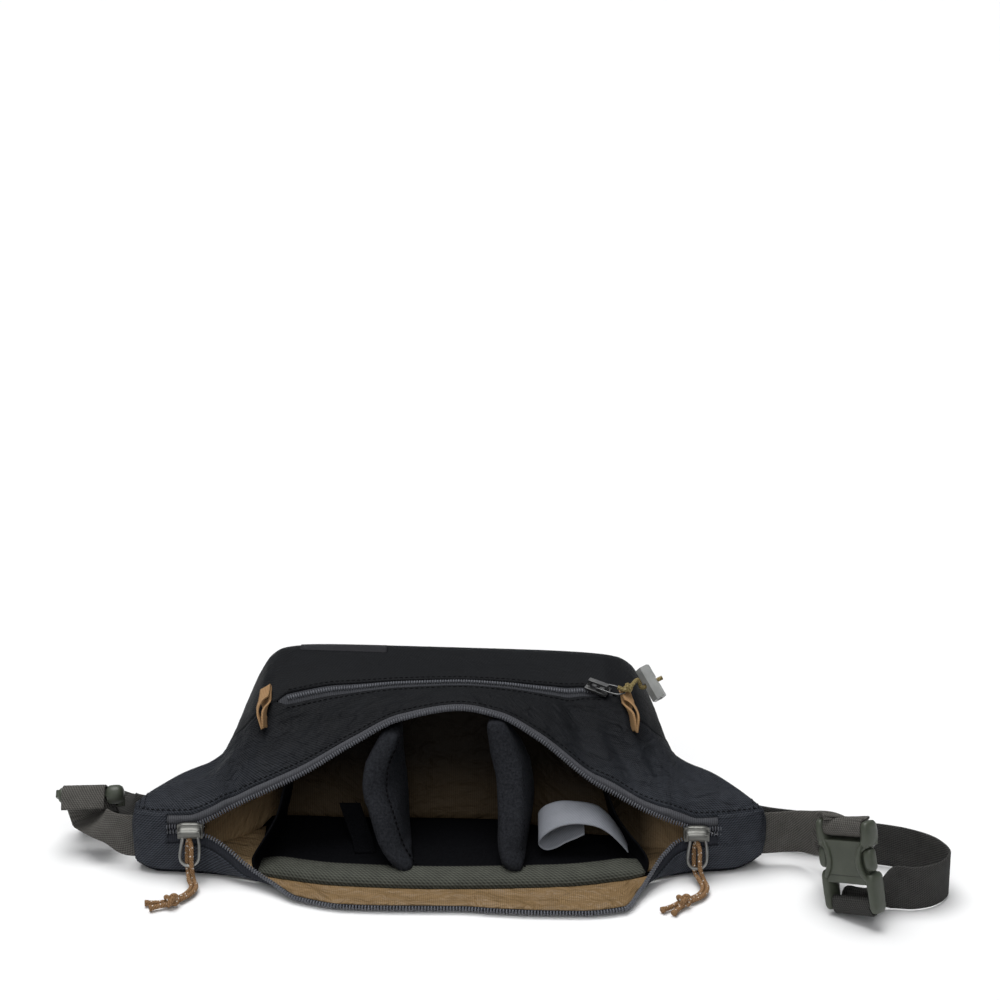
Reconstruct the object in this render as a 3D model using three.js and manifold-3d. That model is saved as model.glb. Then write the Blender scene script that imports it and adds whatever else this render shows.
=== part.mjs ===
// A padded camera pouch worn on the hip, lying on its back panel with the main zip open.
// Millimetres. +X runs from wing to wing, to the right of someone looking into the mouth,
// +Y from the mouth to the pouch's bottom, +Z up from the floor and out through the front pocket.
// The origin is on the resting face of the back panel, midway between the wings.
import * as THREE from "three";
import { mergeVertices } from "three/addons/utils/BufferGeometryUtils.js";
import Module from "manifold-3d";

const wasm = await Module();
wasm.setup();

// Overall size and shape of the body and its wings.
const WING_TIP_LEFT_X = -174;
const WING_TIP_RIGHT_X = 178;
const BODY_LEFT_X = -122.5;
const BODY_RIGHT_X = 125;
const BODY_ROUNDNESS = 4.8;
const BODY_FAR_Y = 94;
const BODY_TOP_Z = 87;
const BODY_TOP_FALL = 0.03;
const BODY_CORNER = 38;
const BODY_CROWN = 2;
const SHOULDER_REACH_WING = 0.03;
const SHOULDER_REACH_BODY = 0.5;

// Cloth, padding and seams.
const FABRIC = 1.6;
const FLAP_FABRIC = 1.2;
const LINING = 1;
const GAP = 0.3;
const SEAM_Z = 5;
const BACK_THICK = 4.6;
const PAD_BOTTOM_Z = 5;
const PAD_TOP_Z = 12;
const PAD_HALF_X = 97;
const PAD_INSET = 0.3;
const BINDING = 1.2;

// Zips.
const ZIP_REVEAL = 8;
const COIL_HALF = 1.3;
const COIL_WIDTH = 2.8;
const TAPE_HALF = 0.5;
const MAIN_ZIP_LEFT_X = -157;
const MAIN_ZIP_RIGHT_X = 154;
const MAIN_SLIDER_LEFT_X = -142;
const MAIN_SLIDER_RIGHT_X = 140;
const POCKET_ZIP_HALF_X = 91;
const POCKET_ZIP_HALF_WIDTH = 5;

// Webbing and cords.
const WEBBING_WIDTH = 25;
const WEBBING_THICK = 1.4;
const CORD = 3;
const POCKET_CORD = 2.4;
const CORD_SIDES = 8;

// The mouth from wing tip to wing tip: where the upper and the lower coil run.
const MOUTH = [
  { x: -178, upperY: -59, upperZ: 26.5, lowerY: -59, lowerZ: 26.5 },
  { x: -160, upperY: -65.5, upperZ: 27, lowerY: -65.5, lowerZ: 27 },
  { x: -143, upperY: -66.5, upperZ: 27.5, lowerY: -66.5, lowerZ: 27.5 },
  { x: -133, upperY: -66.5, upperZ: 31.2, lowerY: -66.9, lowerZ: 23.8 },
  { x: -122, upperY: -64.5, upperZ: 36.5, lowerY: -73, lowerZ: 17 },
  { x: -111, upperY: -62.5, upperZ: 41.5, lowerY: -79, lowerZ: 10.5 },
  { x: -96, upperY: -60, upperZ: 47.8, lowerY: -92, lowerZ: 5 },
  { x: -80, upperY: -57, upperZ: 55, lowerY: -104, lowerZ: 3 },
  { x: -53, upperY: -48, upperZ: 69, lowerY: -113, lowerZ: 2.6 },
  { x: -26, upperY: -38, upperZ: 80.5, lowerY: -114.5, lowerZ: 2.6 },
  { x: 8, upperY: -33, upperZ: 85.3, lowerY: -115, lowerZ: 2.6 },
  { x: 30, upperY: -35.5, upperZ: 81.3, lowerY: -115, lowerZ: 2.6 },
  { x: 53, upperY: -43, upperZ: 70, lowerY: -115, lowerZ: 2.6 },
  { x: 75, upperY: -52, upperZ: 54.5, lowerY: -114, lowerZ: 2.6 },
  { x: 98, upperY: -58.5, upperZ: 41.3, lowerY: -107, lowerZ: 4 },
  { x: 113, upperY: -62, upperZ: 34.8, lowerY: -91, lowerZ: 9 },
  { x: 121, upperY: -64.3, upperZ: 31.8, lowerY: -78, lowerZ: 15.5 },
  { x: 131, upperY: -66.5, upperZ: 29, lowerY: -66.8, lowerZ: 22.4 },
  { x: 141, upperY: -66.5, upperZ: 25.7, lowerY: -66.5, lowerZ: 25.7 },
  { x: 157, upperY: -64.5, upperZ: 25.7, lowerY: -64.5, lowerZ: 25.7 },
  { x: 178, upperY: -58.5, upperZ: 25.5, lowerY: -58.5, lowerZ: 25.5 },
];

// The wings from their roots out to their tips, by distance from the middle.
const WING = [
  { x: 122, farY: -1, topZ: 50.5, corner: 16 },
  { x: 150, farY: -18, topZ: 46.5, corner: 14 },
  { x: 165, farY: -33, topZ: 41.5, corner: 10 },
  { x: 173, farY: -43, topZ: 37.5, corner: 7 },
  { x: 178, farY: -49, topZ: 34.5, corner: 5 },
];

// The near edge of the back panel.
const BACK_EDGE = [
  { x: -178, y: -57.5 },
  { x: -160, y: -63 },
  { x: -143, y: -65 },
  { x: -122, y: -69.5 },
  { x: -96, y: -78 },
  { x: -58, y: -88 },
  { x: 0, y: -92 },
  { x: 63, y: -89.5 },
  { x: 100, y: -81 },
  { x: 122, y: -71.5 },
  { x: 141, y: -65 },
  { x: 157, y: -62.5 },
  { x: 178, y: -56 },
];

// The line of the pocket zip over the front, and of its seam on to the wing roots.
const POCKET_SEAM = [
  { x: -122.5, y: -5 },
  { x: -110, y: -12 },
  { x: -92, y: -4 },
  { x: -62, y: 4 },
  { x: 0, y: 5.5 },
  { x: 62, y: 8 },
  { x: 92, y: 10 },
  { x: 111, y: -10 },
  { x: 125, y: -6.5 },
];

// The foot of the lining's far wall, where it comes down to the pad or, in the wings, to the back panel.
const LINER_FOOT = [
  { x: -139, y: -44, z: 5.6 },
  { x: -118, y: -30, z: 5.6 },
  { x: -108, y: -20, z: 7 },
  { x: -100, y: -16, z: 13 },
  { x: -88, y: -16, z: 12.8 },
  { x: -60, y: -18, z: 12.8 },
  { x: -20, y: -19, z: 12.8 },
  { x: 25, y: -21, z: 12.8 },
  { x: 45, y: -27, z: 12.8 },
  { x: 64, y: -36, z: 12.8 },
  { x: 88, y: -42, z: 12.8 },
  { x: 100, y: -43, z: 13 },
  { x: 108, y: -44, z: 7 },
  { x: 120, y: -46, z: 5.6 },
  { x: 137, y: -49, z: 5.6 },
];

// Soft folds in the front: middle, direction in degrees from +X, half length, half width and depth.
const FOLDS = [
  { x: 88, y: -22, angle: -38, length: 30, width: 9, depth: 3.2 },
  { x: 116, y: -32, angle: -30, length: 24, width: 8, depth: 2.6 },
  { x: 146, y: -38, angle: -20, length: 18, width: 7, depth: 1.6 },
  { x: -84, y: -20, angle: 35, length: 30, width: 10, depth: 2.4 },
  { x: -140, y: -30, angle: 24, length: 24, width: 8, depth: 1.6 },
  { x: 10, y: 40, angle: 4, length: 70, width: 16, depth: 1.2 },
];

// The padded dividers, from the pad up: near and far edge and half thickness.
const DIVIDER_LEFT = [
  { nearX: -26, nearY: -83, nearZ: 14.4, farX: -27, farY: -25, farZ: 13, half: 4.6 },
  { nearX: -27, nearY: -84, nearZ: 18, farX: -27, farY: -24, farZ: 17, half: 6 },
  { nearX: -35, nearY: -74, nearZ: 30, farX: -28, farY: -21, farZ: 30, half: 6.4 },
  { nearX: -44, nearY: -62, nearZ: 46, farX: -29, farY: -17, farZ: 46, half: 6.4 },
  { nearX: -42, nearY: -54, nearZ: 58, farX: -30, farY: -15, farZ: 60, half: 6.2 },
  { nearX: -38, nearY: -48, nearZ: 66, farX: -31, farY: -14, farZ: 70, half: 5.8 },
  { nearX: -36.5, nearY: -46, nearZ: 69, farX: -31, farY: -14, farZ: 73, half: 4.2 },
];
const DIVIDER_RIGHT = [
  { nearX: 38, nearY: -84, nearZ: 14.4, farX: 33, farY: -31, farZ: 13, half: 4.6 },
  { nearX: 38, nearY: -85, nearZ: 18, farX: 33, farY: -30, farZ: 17, half: 6 },
  { nearX: 37, nearY: -75, nearZ: 30, farX: 32, farY: -27, farZ: 30, half: 6.4 },
  { nearX: 34, nearY: -62, nearZ: 46, farX: 31, farY: -23, farZ: 46, half: 6.4 },
  { nearX: 31, nearY: -53, nearZ: 59, farX: 30, farY: -20, farZ: 60, half: 6.2 },
  { nearX: 28.5, nearY: -47, nearZ: 68, farX: 28, farY: -19, farZ: 70, half: 5.8 },
  { nearX: 27.5, nearY: -45, nearZ: 71.5, farX: 27.5, farY: -19, farZ: 73, half: 4.2 },
];

// The care label's bend, seen from the mouth.
const LABEL_BEND = [
  { x: 96.2, z: 12.8 },
  { x: 93.5, z: 22 },
  { x: 82, z: 30.5 },
  { x: 66, z: 32 },
  { x: 55, z: 28 },
  { x: 52.5, z: 21.5 },
  { x: 57, z: 17.4 },
  { x: 68, z: 19 },
  { x: 78, z: 22 },
];
const LABEL_NEAR_Y = -68.4;
const LABEL_WIDTH = 23;

// The fastened buckle: its two strap bars' places and the way its width lies.
const BUCKLE_TOP = new THREE.Vector3(216, -112.3, 50.1);
const BUCKLE_BOTTOM = new THREE.Vector3(221.5, -121.5, 9.5);
const BUCKLE_ACROSS = new THREE.Vector3(0.68, -0.65, 0.3);

// The belt on edge: from below the buckle round its bend, and where it passes the wings.
const BELT_MIDDLE_Z = 13.2;
const BELT_HUGS = 2.8;
const BELT_BEND = [
  { x: 243, y: -109, lean: 0.1 },
  { x: 256, y: -110, lean: 0 },
  { x: 269, y: -104, lean: 0 },
  { x: 277, y: -90, lean: 0 },
  { x: 272, y: -73, lean: 0 },
  { x: 258, y: -61, lean: 0 },
  { x: 232, y: -51, lean: 0 },
  { x: 204, y: -39, lean: 0 },
  { x: 184, y: -33, lean: 0 },
  { x: 166, y: -23, lean: 0 },
  { x: 150, y: -8, lean: 0 },
  { x: 138, y: 6, lean: 0 },
  { x: 131, y: 22, lean: 0 },
];
const BELT_ROUND_ANGLES = [11, 24, 38, 55, 78, 102, 125, 142, 156, 169];
const BELT_TO_LOCK = [
  { x: -131, y: 22, z: BELT_MIDDLE_Z, leanX: 0, leanZ: 1 },
  { x: -138, y: 6, z: BELT_MIDDLE_Z, leanX: 0, leanZ: 1 },
  { x: -150, y: -6, z: BELT_MIDDLE_Z, leanX: 0, leanZ: 1 },
  { x: -166, y: -16, z: BELT_MIDDLE_Z, leanX: 0.1, leanZ: 1 },
  { x: -182, y: -14, z: 12.5, leanX: 0.6, leanZ: 0.75 },
  { x: -195, y: -3, z: 11, leanX: 0.95, leanZ: 0.3 },
];

// The left wing's adjuster: the bar its strap is sewn round, and the way its frame lies from there.
const LOCK_BAR = new THREE.Vector3(-206, -31, 33);
const LOCK_LIE = new THREE.Vector3(0.1, 0.8, -0.6).normalize();
const LOCK_LENGTH = 24;

const mix = THREE.MathUtils.lerp;
const clamp = THREE.MathUtils.clamp;
const vector = (x, y, z) => new THREE.Vector3(x, y, z);

const group = new THREE.Group();

function finish(color, roughness, metalness = 0) {
  return new THREE.MeshStandardMaterial({ color, roughness, metalness });
}

const NYLON = finish(0x22242a, 0.85);
const NYLON_EDGE = finish(0x1c1e23, 0.88);
const LINING_BROWN = finish(0x6f5539, 0.72);
const BAND_GREEN = finish(0x55574b, 0.88);
const PAD_BLACK = finish(0x17181b, 0.95);
const DIVIDER_BLACK = finish(0x1a1b1f, 0.96);
const LABEL_WHITE = finish(0xd9d9d6, 0.75);
const LABEL_BLACK = finish(0x1e1f24, 0.8);
const ZIP_GREY = finish(0x4b4d53, 0.7);
const PEWTER = finish(0x7b7d74, 0.38, 0.9);
const CORD_TAN = finish(0xa9794e, 0.85);
const CORD_OLIVE = finish(0x7d683c, 0.85);
const TOGGLE_GREY = finish(0x8c8f8e, 0.5);
const LOOP_TAN = finish(0xb6855a, 0.8);
const WEBBING = finish(0x3f3d39, 0.85);
const BUCKLE_OLIVE = finish(0x565c4c, 0.5);

function place(name, geometry, material) {
  const mesh = new THREE.Mesh(geometry, material);
  mesh.name = name;
  group.add(mesh);
}

// A closed body from points and faces, turned so that its faces look outward.
function body(points, faces) {
  let volume = 0;
  for (let k = 0; k < faces.length; k += 3) {
    const [a, b, c] = [points[faces[k]], points[faces[k + 1]], points[faces[k + 2]]];
    volume += vector(0, 0, 0).crossVectors(b, c).dot(a);
  }
  const turned = volume < 0 ? faces.slice().reverse() : faces;
  const geometry = new THREE.BufferGeometry();
  geometry.setAttribute("position", new THREE.Float32BufferAttribute(points.flatMap((p) => p.toArray()), 3));
  geometry.setIndex(turned);
  geometry.computeVertexNormals();
  return geometry;
}

// A closed sheet between two grids of points of the same size, over the cells that are kept.
function sheetBetween(outer, inner, keep = () => true) {
  const rows = outer.length - 1;
  const columns = outer[0].length - 1;
  const kept = (i, j) => i >= 0 && j >= 0 && i < rows && j < columns && keep(i, j);
  const points = [];
  const numbers = new Map();
  const faces = [];
  const at = (layer, i, j) => {
    const key = `${layer} ${i} ${j}`;
    if (!numbers.has(key)) {
      numbers.set(key, points.length);
      points.push(layer === 0 ? outer[i][j] : inner[i][j]);
    }
    return numbers.get(key);
  };
  const quad = (a, b, c, d) => faces.push(a, b, c, a, c, d);
  for (let i = 0; i < rows; i += 1) {
    for (let j = 0; j < columns; j += 1) {
      if (!kept(i, j)) continue;
      quad(at(0, i, j), at(0, i + 1, j), at(0, i + 1, j + 1), at(0, i, j + 1));
      quad(at(1, i, j), at(1, i, j + 1), at(1, i + 1, j + 1), at(1, i + 1, j));
      if (!kept(i, j - 1)) quad(at(0, i, j), at(1, i, j), at(1, i + 1, j), at(0, i + 1, j));
      if (!kept(i, j + 1)) quad(at(0, i, j + 1), at(0, i + 1, j + 1), at(1, i + 1, j + 1), at(1, i, j + 1));
      if (!kept(i - 1, j)) quad(at(0, i, j), at(0, i, j + 1), at(1, i, j + 1), at(1, i, j));
      if (!kept(i + 1, j)) quad(at(0, i + 1, j), at(1, i + 1, j), at(1, i + 1, j + 1), at(0, i + 1, j + 1));
    }
  }
  return body(points, faces);
}

// A closed body through loops of points, each end closed by the triangles of its outline.
function sweep(loops, outline) {
  const count = outline.length;
  const points = loops.flat();
  const faces = [];
  for (let i = 0; i < loops.length - 1; i += 1) {
    for (let j = 0; j < count; j += 1) {
      const next = (j + 1) % count;
      const [a, b] = [i * count + j, i * count + next];
      faces.push(a, a + count, b + count, a, b + count, b);
    }
  }
  const last = (loops.length - 1) * count;
  const clockwise = THREE.ShapeUtils.isClockWise(outline);
  for (const [a, b, c] of THREE.ShapeUtils.triangulateShape(outline, [])) {
    const [p, q, r] = clockwise ? [a, c, b] : [a, b, c];
    faces.push(p, q, r);
    faces.push(last + p, last + r, last + q);
  }
  return body(points, faces);
}

// A solid for joining and cutting, and the way back to a drawn body.
function solid(geometry) {
  const bare = geometry.clone();
  bare.deleteAttribute("normal");
  bare.deleteAttribute("uv");
  const welded = mergeVertices(bare, 1e-4);
  const mesh = new wasm.Mesh({
    numProp: 3,
    vertProperties: new Float32Array(welded.attributes.position.array),
    triVerts: new Uint32Array(welded.index.array),
  });
  return new wasm.Manifold(mesh);
}

function drawn(manifold) {
  const mesh = manifold.getMesh();
  const geometry = new THREE.BufferGeometry();
  geometry.setAttribute("position", new THREE.BufferAttribute(new Float32Array(mesh.vertProperties), 3));
  geometry.setIndex(new THREE.BufferAttribute(new Uint32Array(mesh.triVerts), 1));
  geometry.computeVertexNormals();
  return geometry;
}

// A block between two corners.
function block(low, high) {
  const geometry = new THREE.BoxGeometry(high[0] - low[0], high[1] - low[1], high[2] - low[2]);
  geometry.translate((low[0] + high[0]) / 2, (low[1] + high[1]) / 2, (low[2] + high[2]) / 2);
  return solid(geometry);
}

// A smooth value between the rows of a table, with no overshoot past any row.
function between(rows, column) {
  const xs = rows.map((row) => row.x);
  const values = rows.map((row) => row[column]);
  const slopes = xs.slice(1).map((x, k) => (values[k + 1] - values[k]) / (x - xs[k]));
  const tangents = values.map((_, k) => {
    if (k === 0) return slopes[0];
    if (k === slopes.length) return slopes[k - 1];
    const [before, after] = [slopes[k - 1], slopes[k]];
    return before * after <= 0 ? 0 : (2 * before * after) / (before + after);
  });
  return (x) => {
    const bounded = clamp(x, xs[0], xs[xs.length - 1]);
    let k = 0;
    while (k < xs.length - 2 && bounded > xs[k + 1]) k += 1;
    const span = xs[k + 1] - xs[k];
    const t = (bounded - xs[k]) / span;
    const rise = values[k + 1] - values[k];
    const bend = (1 - t) * (tangents[k] * span - rise) - t * (tangents[k + 1] * span - rise);
    return values[k] + t * rise + t * (1 - t) * bend;
  };
}

const upperY = between(MOUTH, "upperY");
const upperZ = between(MOUTH, "upperZ");
const lowerY = between(MOUTH, "lowerY");
const lowerZ = between(MOUTH, "lowerZ");
const wingFarY = between(WING, "farY");
const wingTopZ = between(WING, "topZ");
const wingCorner = between(WING, "corner");
const backNearY = between(BACK_EDGE, "y");
const seamY = between(POCKET_SEAM, "y");
const footY = between(LINER_FOOT, "y");
const footZ = between(LINER_FOOT, "z");

// How far from the middle the body goes on the side of x, and how much of the full body there is at x:
// 1 in the middle, 0 where only the wing is left.
function bodyReach(x) {
  return x < 0 ? -BODY_LEFT_X : BODY_RIGHT_X;
}

function bodyShare(x) {
  const out = Math.min(1, Math.abs(x) / bodyReach(x));
  return Math.pow(1 - Math.pow(out, BODY_ROUNDNESS), 1 / BODY_ROUNDNESS);
}

function farEdgeY(x) {
  return mix(wingFarY(Math.abs(x)), BODY_FAR_Y, bodyShare(x));
}

function foldDepth(x, y) {
  return FOLDS.reduce((sum, fold) => {
    const angle = THREE.MathUtils.degToRad(fold.angle);
    const along = (x - fold.x) * Math.cos(angle) + (y - fold.y) * Math.sin(angle);
    const across = (y - fold.y) * Math.cos(angle) - (x - fold.x) * Math.sin(angle);
    return sum + fold.depth * Math.exp(-((along / fold.length) ** 2) - (across / fold.width) ** 2);
  }, 0);
}

// The outside of the pouch across one section, from the upper coil over the front to the far seam.
const profiles = new Map();

function frontProfile(x) {
  if (!profiles.has(x)) {
    const share = bodyShare(x);
    const farY = farEdgeY(x);
    const topZ = mix(wingTopZ(Math.abs(x)), BODY_TOP_Z - BODY_TOP_FALL * x, share);
    const corner = mix(wingCorner(Math.abs(x)), BODY_CORNER, share);
    const crestY = farY - corner;
    const reach = mix(SHOULDER_REACH_WING, SHOULDER_REACH_BODY, share);
    const path = new THREE.Path();
    path.moveTo(upperY(x), upperZ(x));
    path.quadraticCurveTo(mix(upperY(x), crestY, reach), topZ + BODY_CROWN * share, crestY, topZ);
    path.absarc(crestY, topZ - corner, corner, Math.PI / 2, 0, true);
    path.lineTo(farY, SEAM_Z);
    profiles.set(x, { path, length: path.getLength() });
  }
  return profiles.get(x);
}

// The flap below the main zip across one section, from the lower coil to the back panel's near edge.
const flaps = new Map();

function flapProfile(x) {
  if (!flaps.has(x)) {
    const end = { y: backNearY(x) - 1.5, z: 3 };
    const bulge = 5 * Math.exp(-(((Math.abs(x) - 113) / 13) ** 2));
    const middleY = (lowerY(x) + end.y) / 2 - bulge;
    const middleZ = Math.max(2.6, (lowerZ(x) + end.z) / 2 - 3);
    const path = new THREE.Path();
    path.moveTo(lowerY(x), lowerZ(x));
    path.quadraticCurveTo(middleY, middleZ, end.y, end.z);
    flaps.set(x, { path, length: path.getLength() });
  }
  return flaps.get(x);
}

function frontPoint(x, s) {
  const { path, length } = frontProfile(x);
  const place2 = path.getPoint(clamp(s / length, 0, 1));
  return vector(x, place2.x, place2.y - foldDepth(x, place2.x));
}

function flapPoint(x, s) {
  const { path, length } = flapProfile(x);
  const place2 = path.getPoint(clamp(s / length, 0, 1));
  return vector(x, place2.x, place2.y);
}

// A point off a surface along its outward normal.
function offSurface(point, length, x, s, away, side) {
  const step = 0.25;
  const low = Math.max(0, s - step);
  const high = Math.min(length, s + step);
  const along = point(x + step, s).sub(point(x - step, s));
  const across = point(x, high).sub(point(x, low));
  const normal = vector(0, 0, 0).crossVectors(along, across).normalize();
  return point(x, s).addScaledVector(normal, away * side);
}

function offFront(x, s, away) {
  return offSurface(frontPoint, frontProfile(x).length, x, s, away, 1);
}

function offFlap(x, s, away) {
  return offSurface(flapPoint, flapProfile(x).length, x, s, away, -1);
}

// The distance from the upper coil at which the front reaches a given y.
function frontDistanceAt(x, y) {
  const { path, length } = frontProfile(x);
  let [low, high] = [0, 1];
  for (let k = 0; k < 40; k += 1) {
    const middle = (low + high) / 2;
    if (path.getPoint(middle).x < y) low = middle;
    else high = middle;
  }
  return high * length;
}

// The pocket seam's distance from the upper coil, and on the wings the distance of their far top edge.
function seamDistance(x) {
  const out = Math.abs(x);
  const y = out < bodyReach(x) ? seamY(x) : wingFarY(out) - wingCorner(out) / 4;
  return frontDistanceAt(x, y);
}

// Half the width left open along the seam: the zip's width in the middle, a sewn line beyond its ends.
function seamOpen(x) {
  const closing = clamp((Math.abs(x) - POCKET_ZIP_HALF_X - 1) / 6, 0, 1);
  return mix(POCKET_ZIP_HALF_WIDTH, 0.25, closing);
}

// Sections from wing tip to wing tip, closer together where the body rounds into the wings.
const MIDDLE_STATIONS = [-92, -72, -52, -31, -10, 11, 32, 52, 72, 92];
const ROUND_ANGLES = [1, 5, 13, 24, 36, 52];
const WING_STATIONS = [133, 140, 147, 156, 165];
const roundShares = ROUND_ANGLES.map((angle) => {
  return Math.pow(Math.cos(THREE.MathUtils.degToRad(angle)), 2 / BODY_ROUNDNESS);
});
const BODY_STATIONS = [
  BODY_LEFT_X,
  ...roundShares.map((share) => BODY_LEFT_X * share),
  ...MIDDLE_STATIONS,
  ...roundShares.slice().reverse().map((share) => BODY_RIGHT_X * share),
  BODY_RIGHT_X,
];
const STATIONS = [
  WING_TIP_LEFT_X,
  ...WING_STATIONS.slice().reverse().map((x) => -x),
  BODY_LEFT_X - 0.5,
  ...BODY_STATIONS.slice(1, -1),
  BODY_RIGHT_X + 0.5,
  ...WING_STATIONS,
  172,
  WING_TIP_RIGHT_X,
];

function stationsBetween(low, high) {
  return [low, ...STATIONS.filter((x) => x > low + 1.5 && x < high - 1.5), high];
}

function spread(low, high, count) {
  return Array.from({ length: count }, (_, k) => mix(low, high, k / (count - 1)));
}

// The two front panels. On the wings the upper one goes on over their far top edge to the floor.
const UPPER_SHARES = [0, 0.08, 0.18, 0.31, 0.48, 0.72, 1];
const WING_SHARES = [0.3, 0.65, 1];
const POCKET_SHARES = [0, 0.07, 0.16, 0.28, 0.4, 0.5, 0.6, 0.7, 0.82, 1];

function frontSheet(stations, distances, top, bottom, keep) {
  const grid = (away) => stations.map((x) => distances(x).map((s) => offFront(x, s, away)));
  return sheetBetween(grid(top), grid(bottom), keep);
}

function within(low, high, shares) {
  return shares.map((share) => mix(low, high, share));
}

function upperDistances(x) {
  const seam = seamDistance(x) - seamOpen(x);
  const onFront = within(ZIP_REVEAL + GAP, seam, UPPER_SHARES);
  return [...onFront, ...within(seam, frontProfile(x).length, WING_SHARES)];
}

function onWing(x) {
  return Math.abs(x) > bodyReach(x);
}

function onUpper(i, j) {
  return j < UPPER_SHARES.length - 1 || (onWing(STATIONS[i]) && onWing(STATIONS[i + 1]));
}

const pocketDistances = (x) => within(seamDistance(x) + seamOpen(x), frontProfile(x).length, POCKET_SHARES);
place("front_upper_panel", frontSheet(STATIONS, upperDistances, 0, -FABRIC, onUpper), NYLON);
place("pocket_panel", frontSheet(BODY_STATIONS, pocketDistances, 0, -FABRIC), NYLON);

// The back panel: flat below, its edge rounded.
const BACK_SECTION = [
  { across: 0, low: 1.6, high: 2.8 },
  { across: 0.02, low: 0.3, high: 4 },
  { across: 0.06, low: 0, high: BACK_THICK },
  { across: 0.94, low: 0, high: BACK_THICK },
  { across: 0.98, low: 0.3, high: 4 },
  { across: 1, low: 1.6, high: 2.8 },
];

function backGrid(level) {
  return STATIONS.map((x) => BACK_SECTION.map((row) => {
    const y = mix(backNearY(x), farEdgeY(x) - 0.6, row.across);
    return vector(x, y, row[level]);
  }));
}

place("back_panel", sheetBetween(backGrid("high"), backGrid("low")), NYLON_EDGE);

// The flap below the zip and its lining.
const flapStations = stationsBetween(WING_TIP_LEFT_X, WING_TIP_RIGHT_X);

function flapSheet(stations, start, columns, outer, inner) {
  const grid = (away) => stations.map((x) => {
    const ends = [Math.min(start, flapProfile(x).length - 2), flapProfile(x).length];
    return spread(ends[0], ends[1], columns).map((s) => offFlap(x, s, away));
  });
  return sheetBetween(grid(outer), grid(inner));
}

place("zip_flap", flapSheet(flapStations, ZIP_REVEAL + GAP, 4, FLAP_FABRIC, 0), NYLON);
const liningStations = stationsBetween(-128, 126);
place("flap_lining", flapSheet(liningStations, ZIP_REVEAL + GAP, 4, -GAP, -GAP - LINING), LINING_BROWN);

// The main zip: a tape with its coil along the free edge.
const TAPE_SECTION = [
  { s: 0.25, away: -COIL_HALF * 0.7 },
  { s: 0.25, away: COIL_HALF * 0.7 },
  { s: 0.7, away: COIL_HALF },
  { s: COIL_WIDTH - 0.5, away: COIL_HALF },
  { s: COIL_WIDTH, away: TAPE_HALF },
  { s: ZIP_REVEAL, away: TAPE_HALF },
  { s: ZIP_REVEAL, away: -TAPE_HALF },
  { s: COIL_WIDTH, away: -TAPE_HALF },
  { s: COIL_WIDTH - 0.5, away: -COIL_HALF },
  { s: 0.7, away: -COIL_HALF },
];
const mainZipStations = stationsBetween(MAIN_ZIP_LEFT_X, MAIN_ZIP_RIGHT_X);

function zipHalf(off, lengthAt) {
  const outline = TAPE_SECTION.map((row) => new THREE.Vector2(row.s, row.away));
  const loops = mainZipStations.map((x) => TAPE_SECTION.map((row) => {
    const s = Math.min(row.s, lengthAt(x) * (row.s / ZIP_REVEAL));
    return off(x, s, row.away);
  }));
  return sweep(loops, outline);
}

place("main_zip_upper", zipHalf(offFront, (x) => frontProfile(x).length), ZIP_GREY);
place("main_zip_lower", zipHalf(offFlap, (x) => flapProfile(x).length - 2 - GAP), ZIP_GREY);

// The patches that close the zip's ends on the wings.
function endPatch(low, high) {
  const stations = stationsBetween(low, high);
  const grid = (away) => stations.map((x) => [
    offFront(x, ZIP_REVEAL - GAP, away),
    offFront(x, 4, away),
    offFront(x, 0, away),
    offFlap(x, 4, away),
    offFlap(x, ZIP_REVEAL - GAP, away),
  ]);
  return sheetBetween(grid(0.6), grid(-0.6));
}

place("zip_end_left", endPatch(WING_TIP_LEFT_X, MAIN_ZIP_LEFT_X - GAP), NYLON);
place("zip_end_right", endPatch(MAIN_ZIP_RIGHT_X + GAP, WING_TIP_RIGHT_X), NYLON);

// The lining: under the front, then down as the far wall of the compartment.
const ROOF_DROP = 4;
const LINER_SIDE_GAP = 5;
const FACING_DROP = 2.4;
const FACING_END = 17;
const ROOF_COLUMNS = 4;
const WALL_COLUMNS = 6;
const WALL_SET_BACK = 17;
const linerStations = [-138, -126, -118, -116.5, -113, -99, ...MIDDLE_STATIONS, 99, 115, 118.5, 120, 128, 136];

// A point below the front, straight inward across the section.
function underFront(x, s, depth) {
  const way = frontPoint(x, s + 0.25).sub(frontPoint(x, s - 0.25)).normalize();
  return frontPoint(x, s).add(vector(0, way.z, -way.y).multiplyScalar(depth));
}

function linerRow(x, away) {
  const skinX = x * (1 + LINER_SIDE_GAP / bodyReach(x));
  const roofEnd = frontDistanceAt(skinX, footY(x) + WALL_SET_BACK);
  const roofStart = Math.min(FACING_END + GAP, roofEnd - 4);
  const roof = spread(roofStart, roofEnd, ROOF_COLUMNS).map((s) => {
    return underFront(skinX, s, ROOF_DROP + away).setX(x);
  });
  const top = roof[roof.length - 1];
  const foot = vector(x, footY(x), footZ(x));
  const knee = vector(x, top.y + 3, mix(foot.z, top.z, 0.6));
  const wall = new THREE.QuadraticBezierCurve3(top, knee, foot);
  const lower = spread(0, 1, WALL_COLUMNS).slice(1).map((t) => {
    const tangent = wall.getTangent(t);
    return wall.getPoint(t).add(vector(0, tangent.z, -tangent.y).multiplyScalar(away));
  });
  return [...roof, ...lower];
}

const linerOuter = linerStations.map((x) => linerRow(x, 0));
const linerInner = linerStations.map((x) => linerRow(x, LINING));
place("liner", sheetBetween(linerOuter, linerInner), LINING_BROWN);

// The band under the upper zip.
const facingStations = stationsBetween(-112, 104);
const facingDistances = () => spread(ZIP_REVEAL + 1, FACING_END, 3);
const facing = frontSheet(facingStations, facingDistances, -FACING_DROP, -FACING_DROP - LINING);
place("lip_facing", facing, BAND_GREEN);

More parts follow.
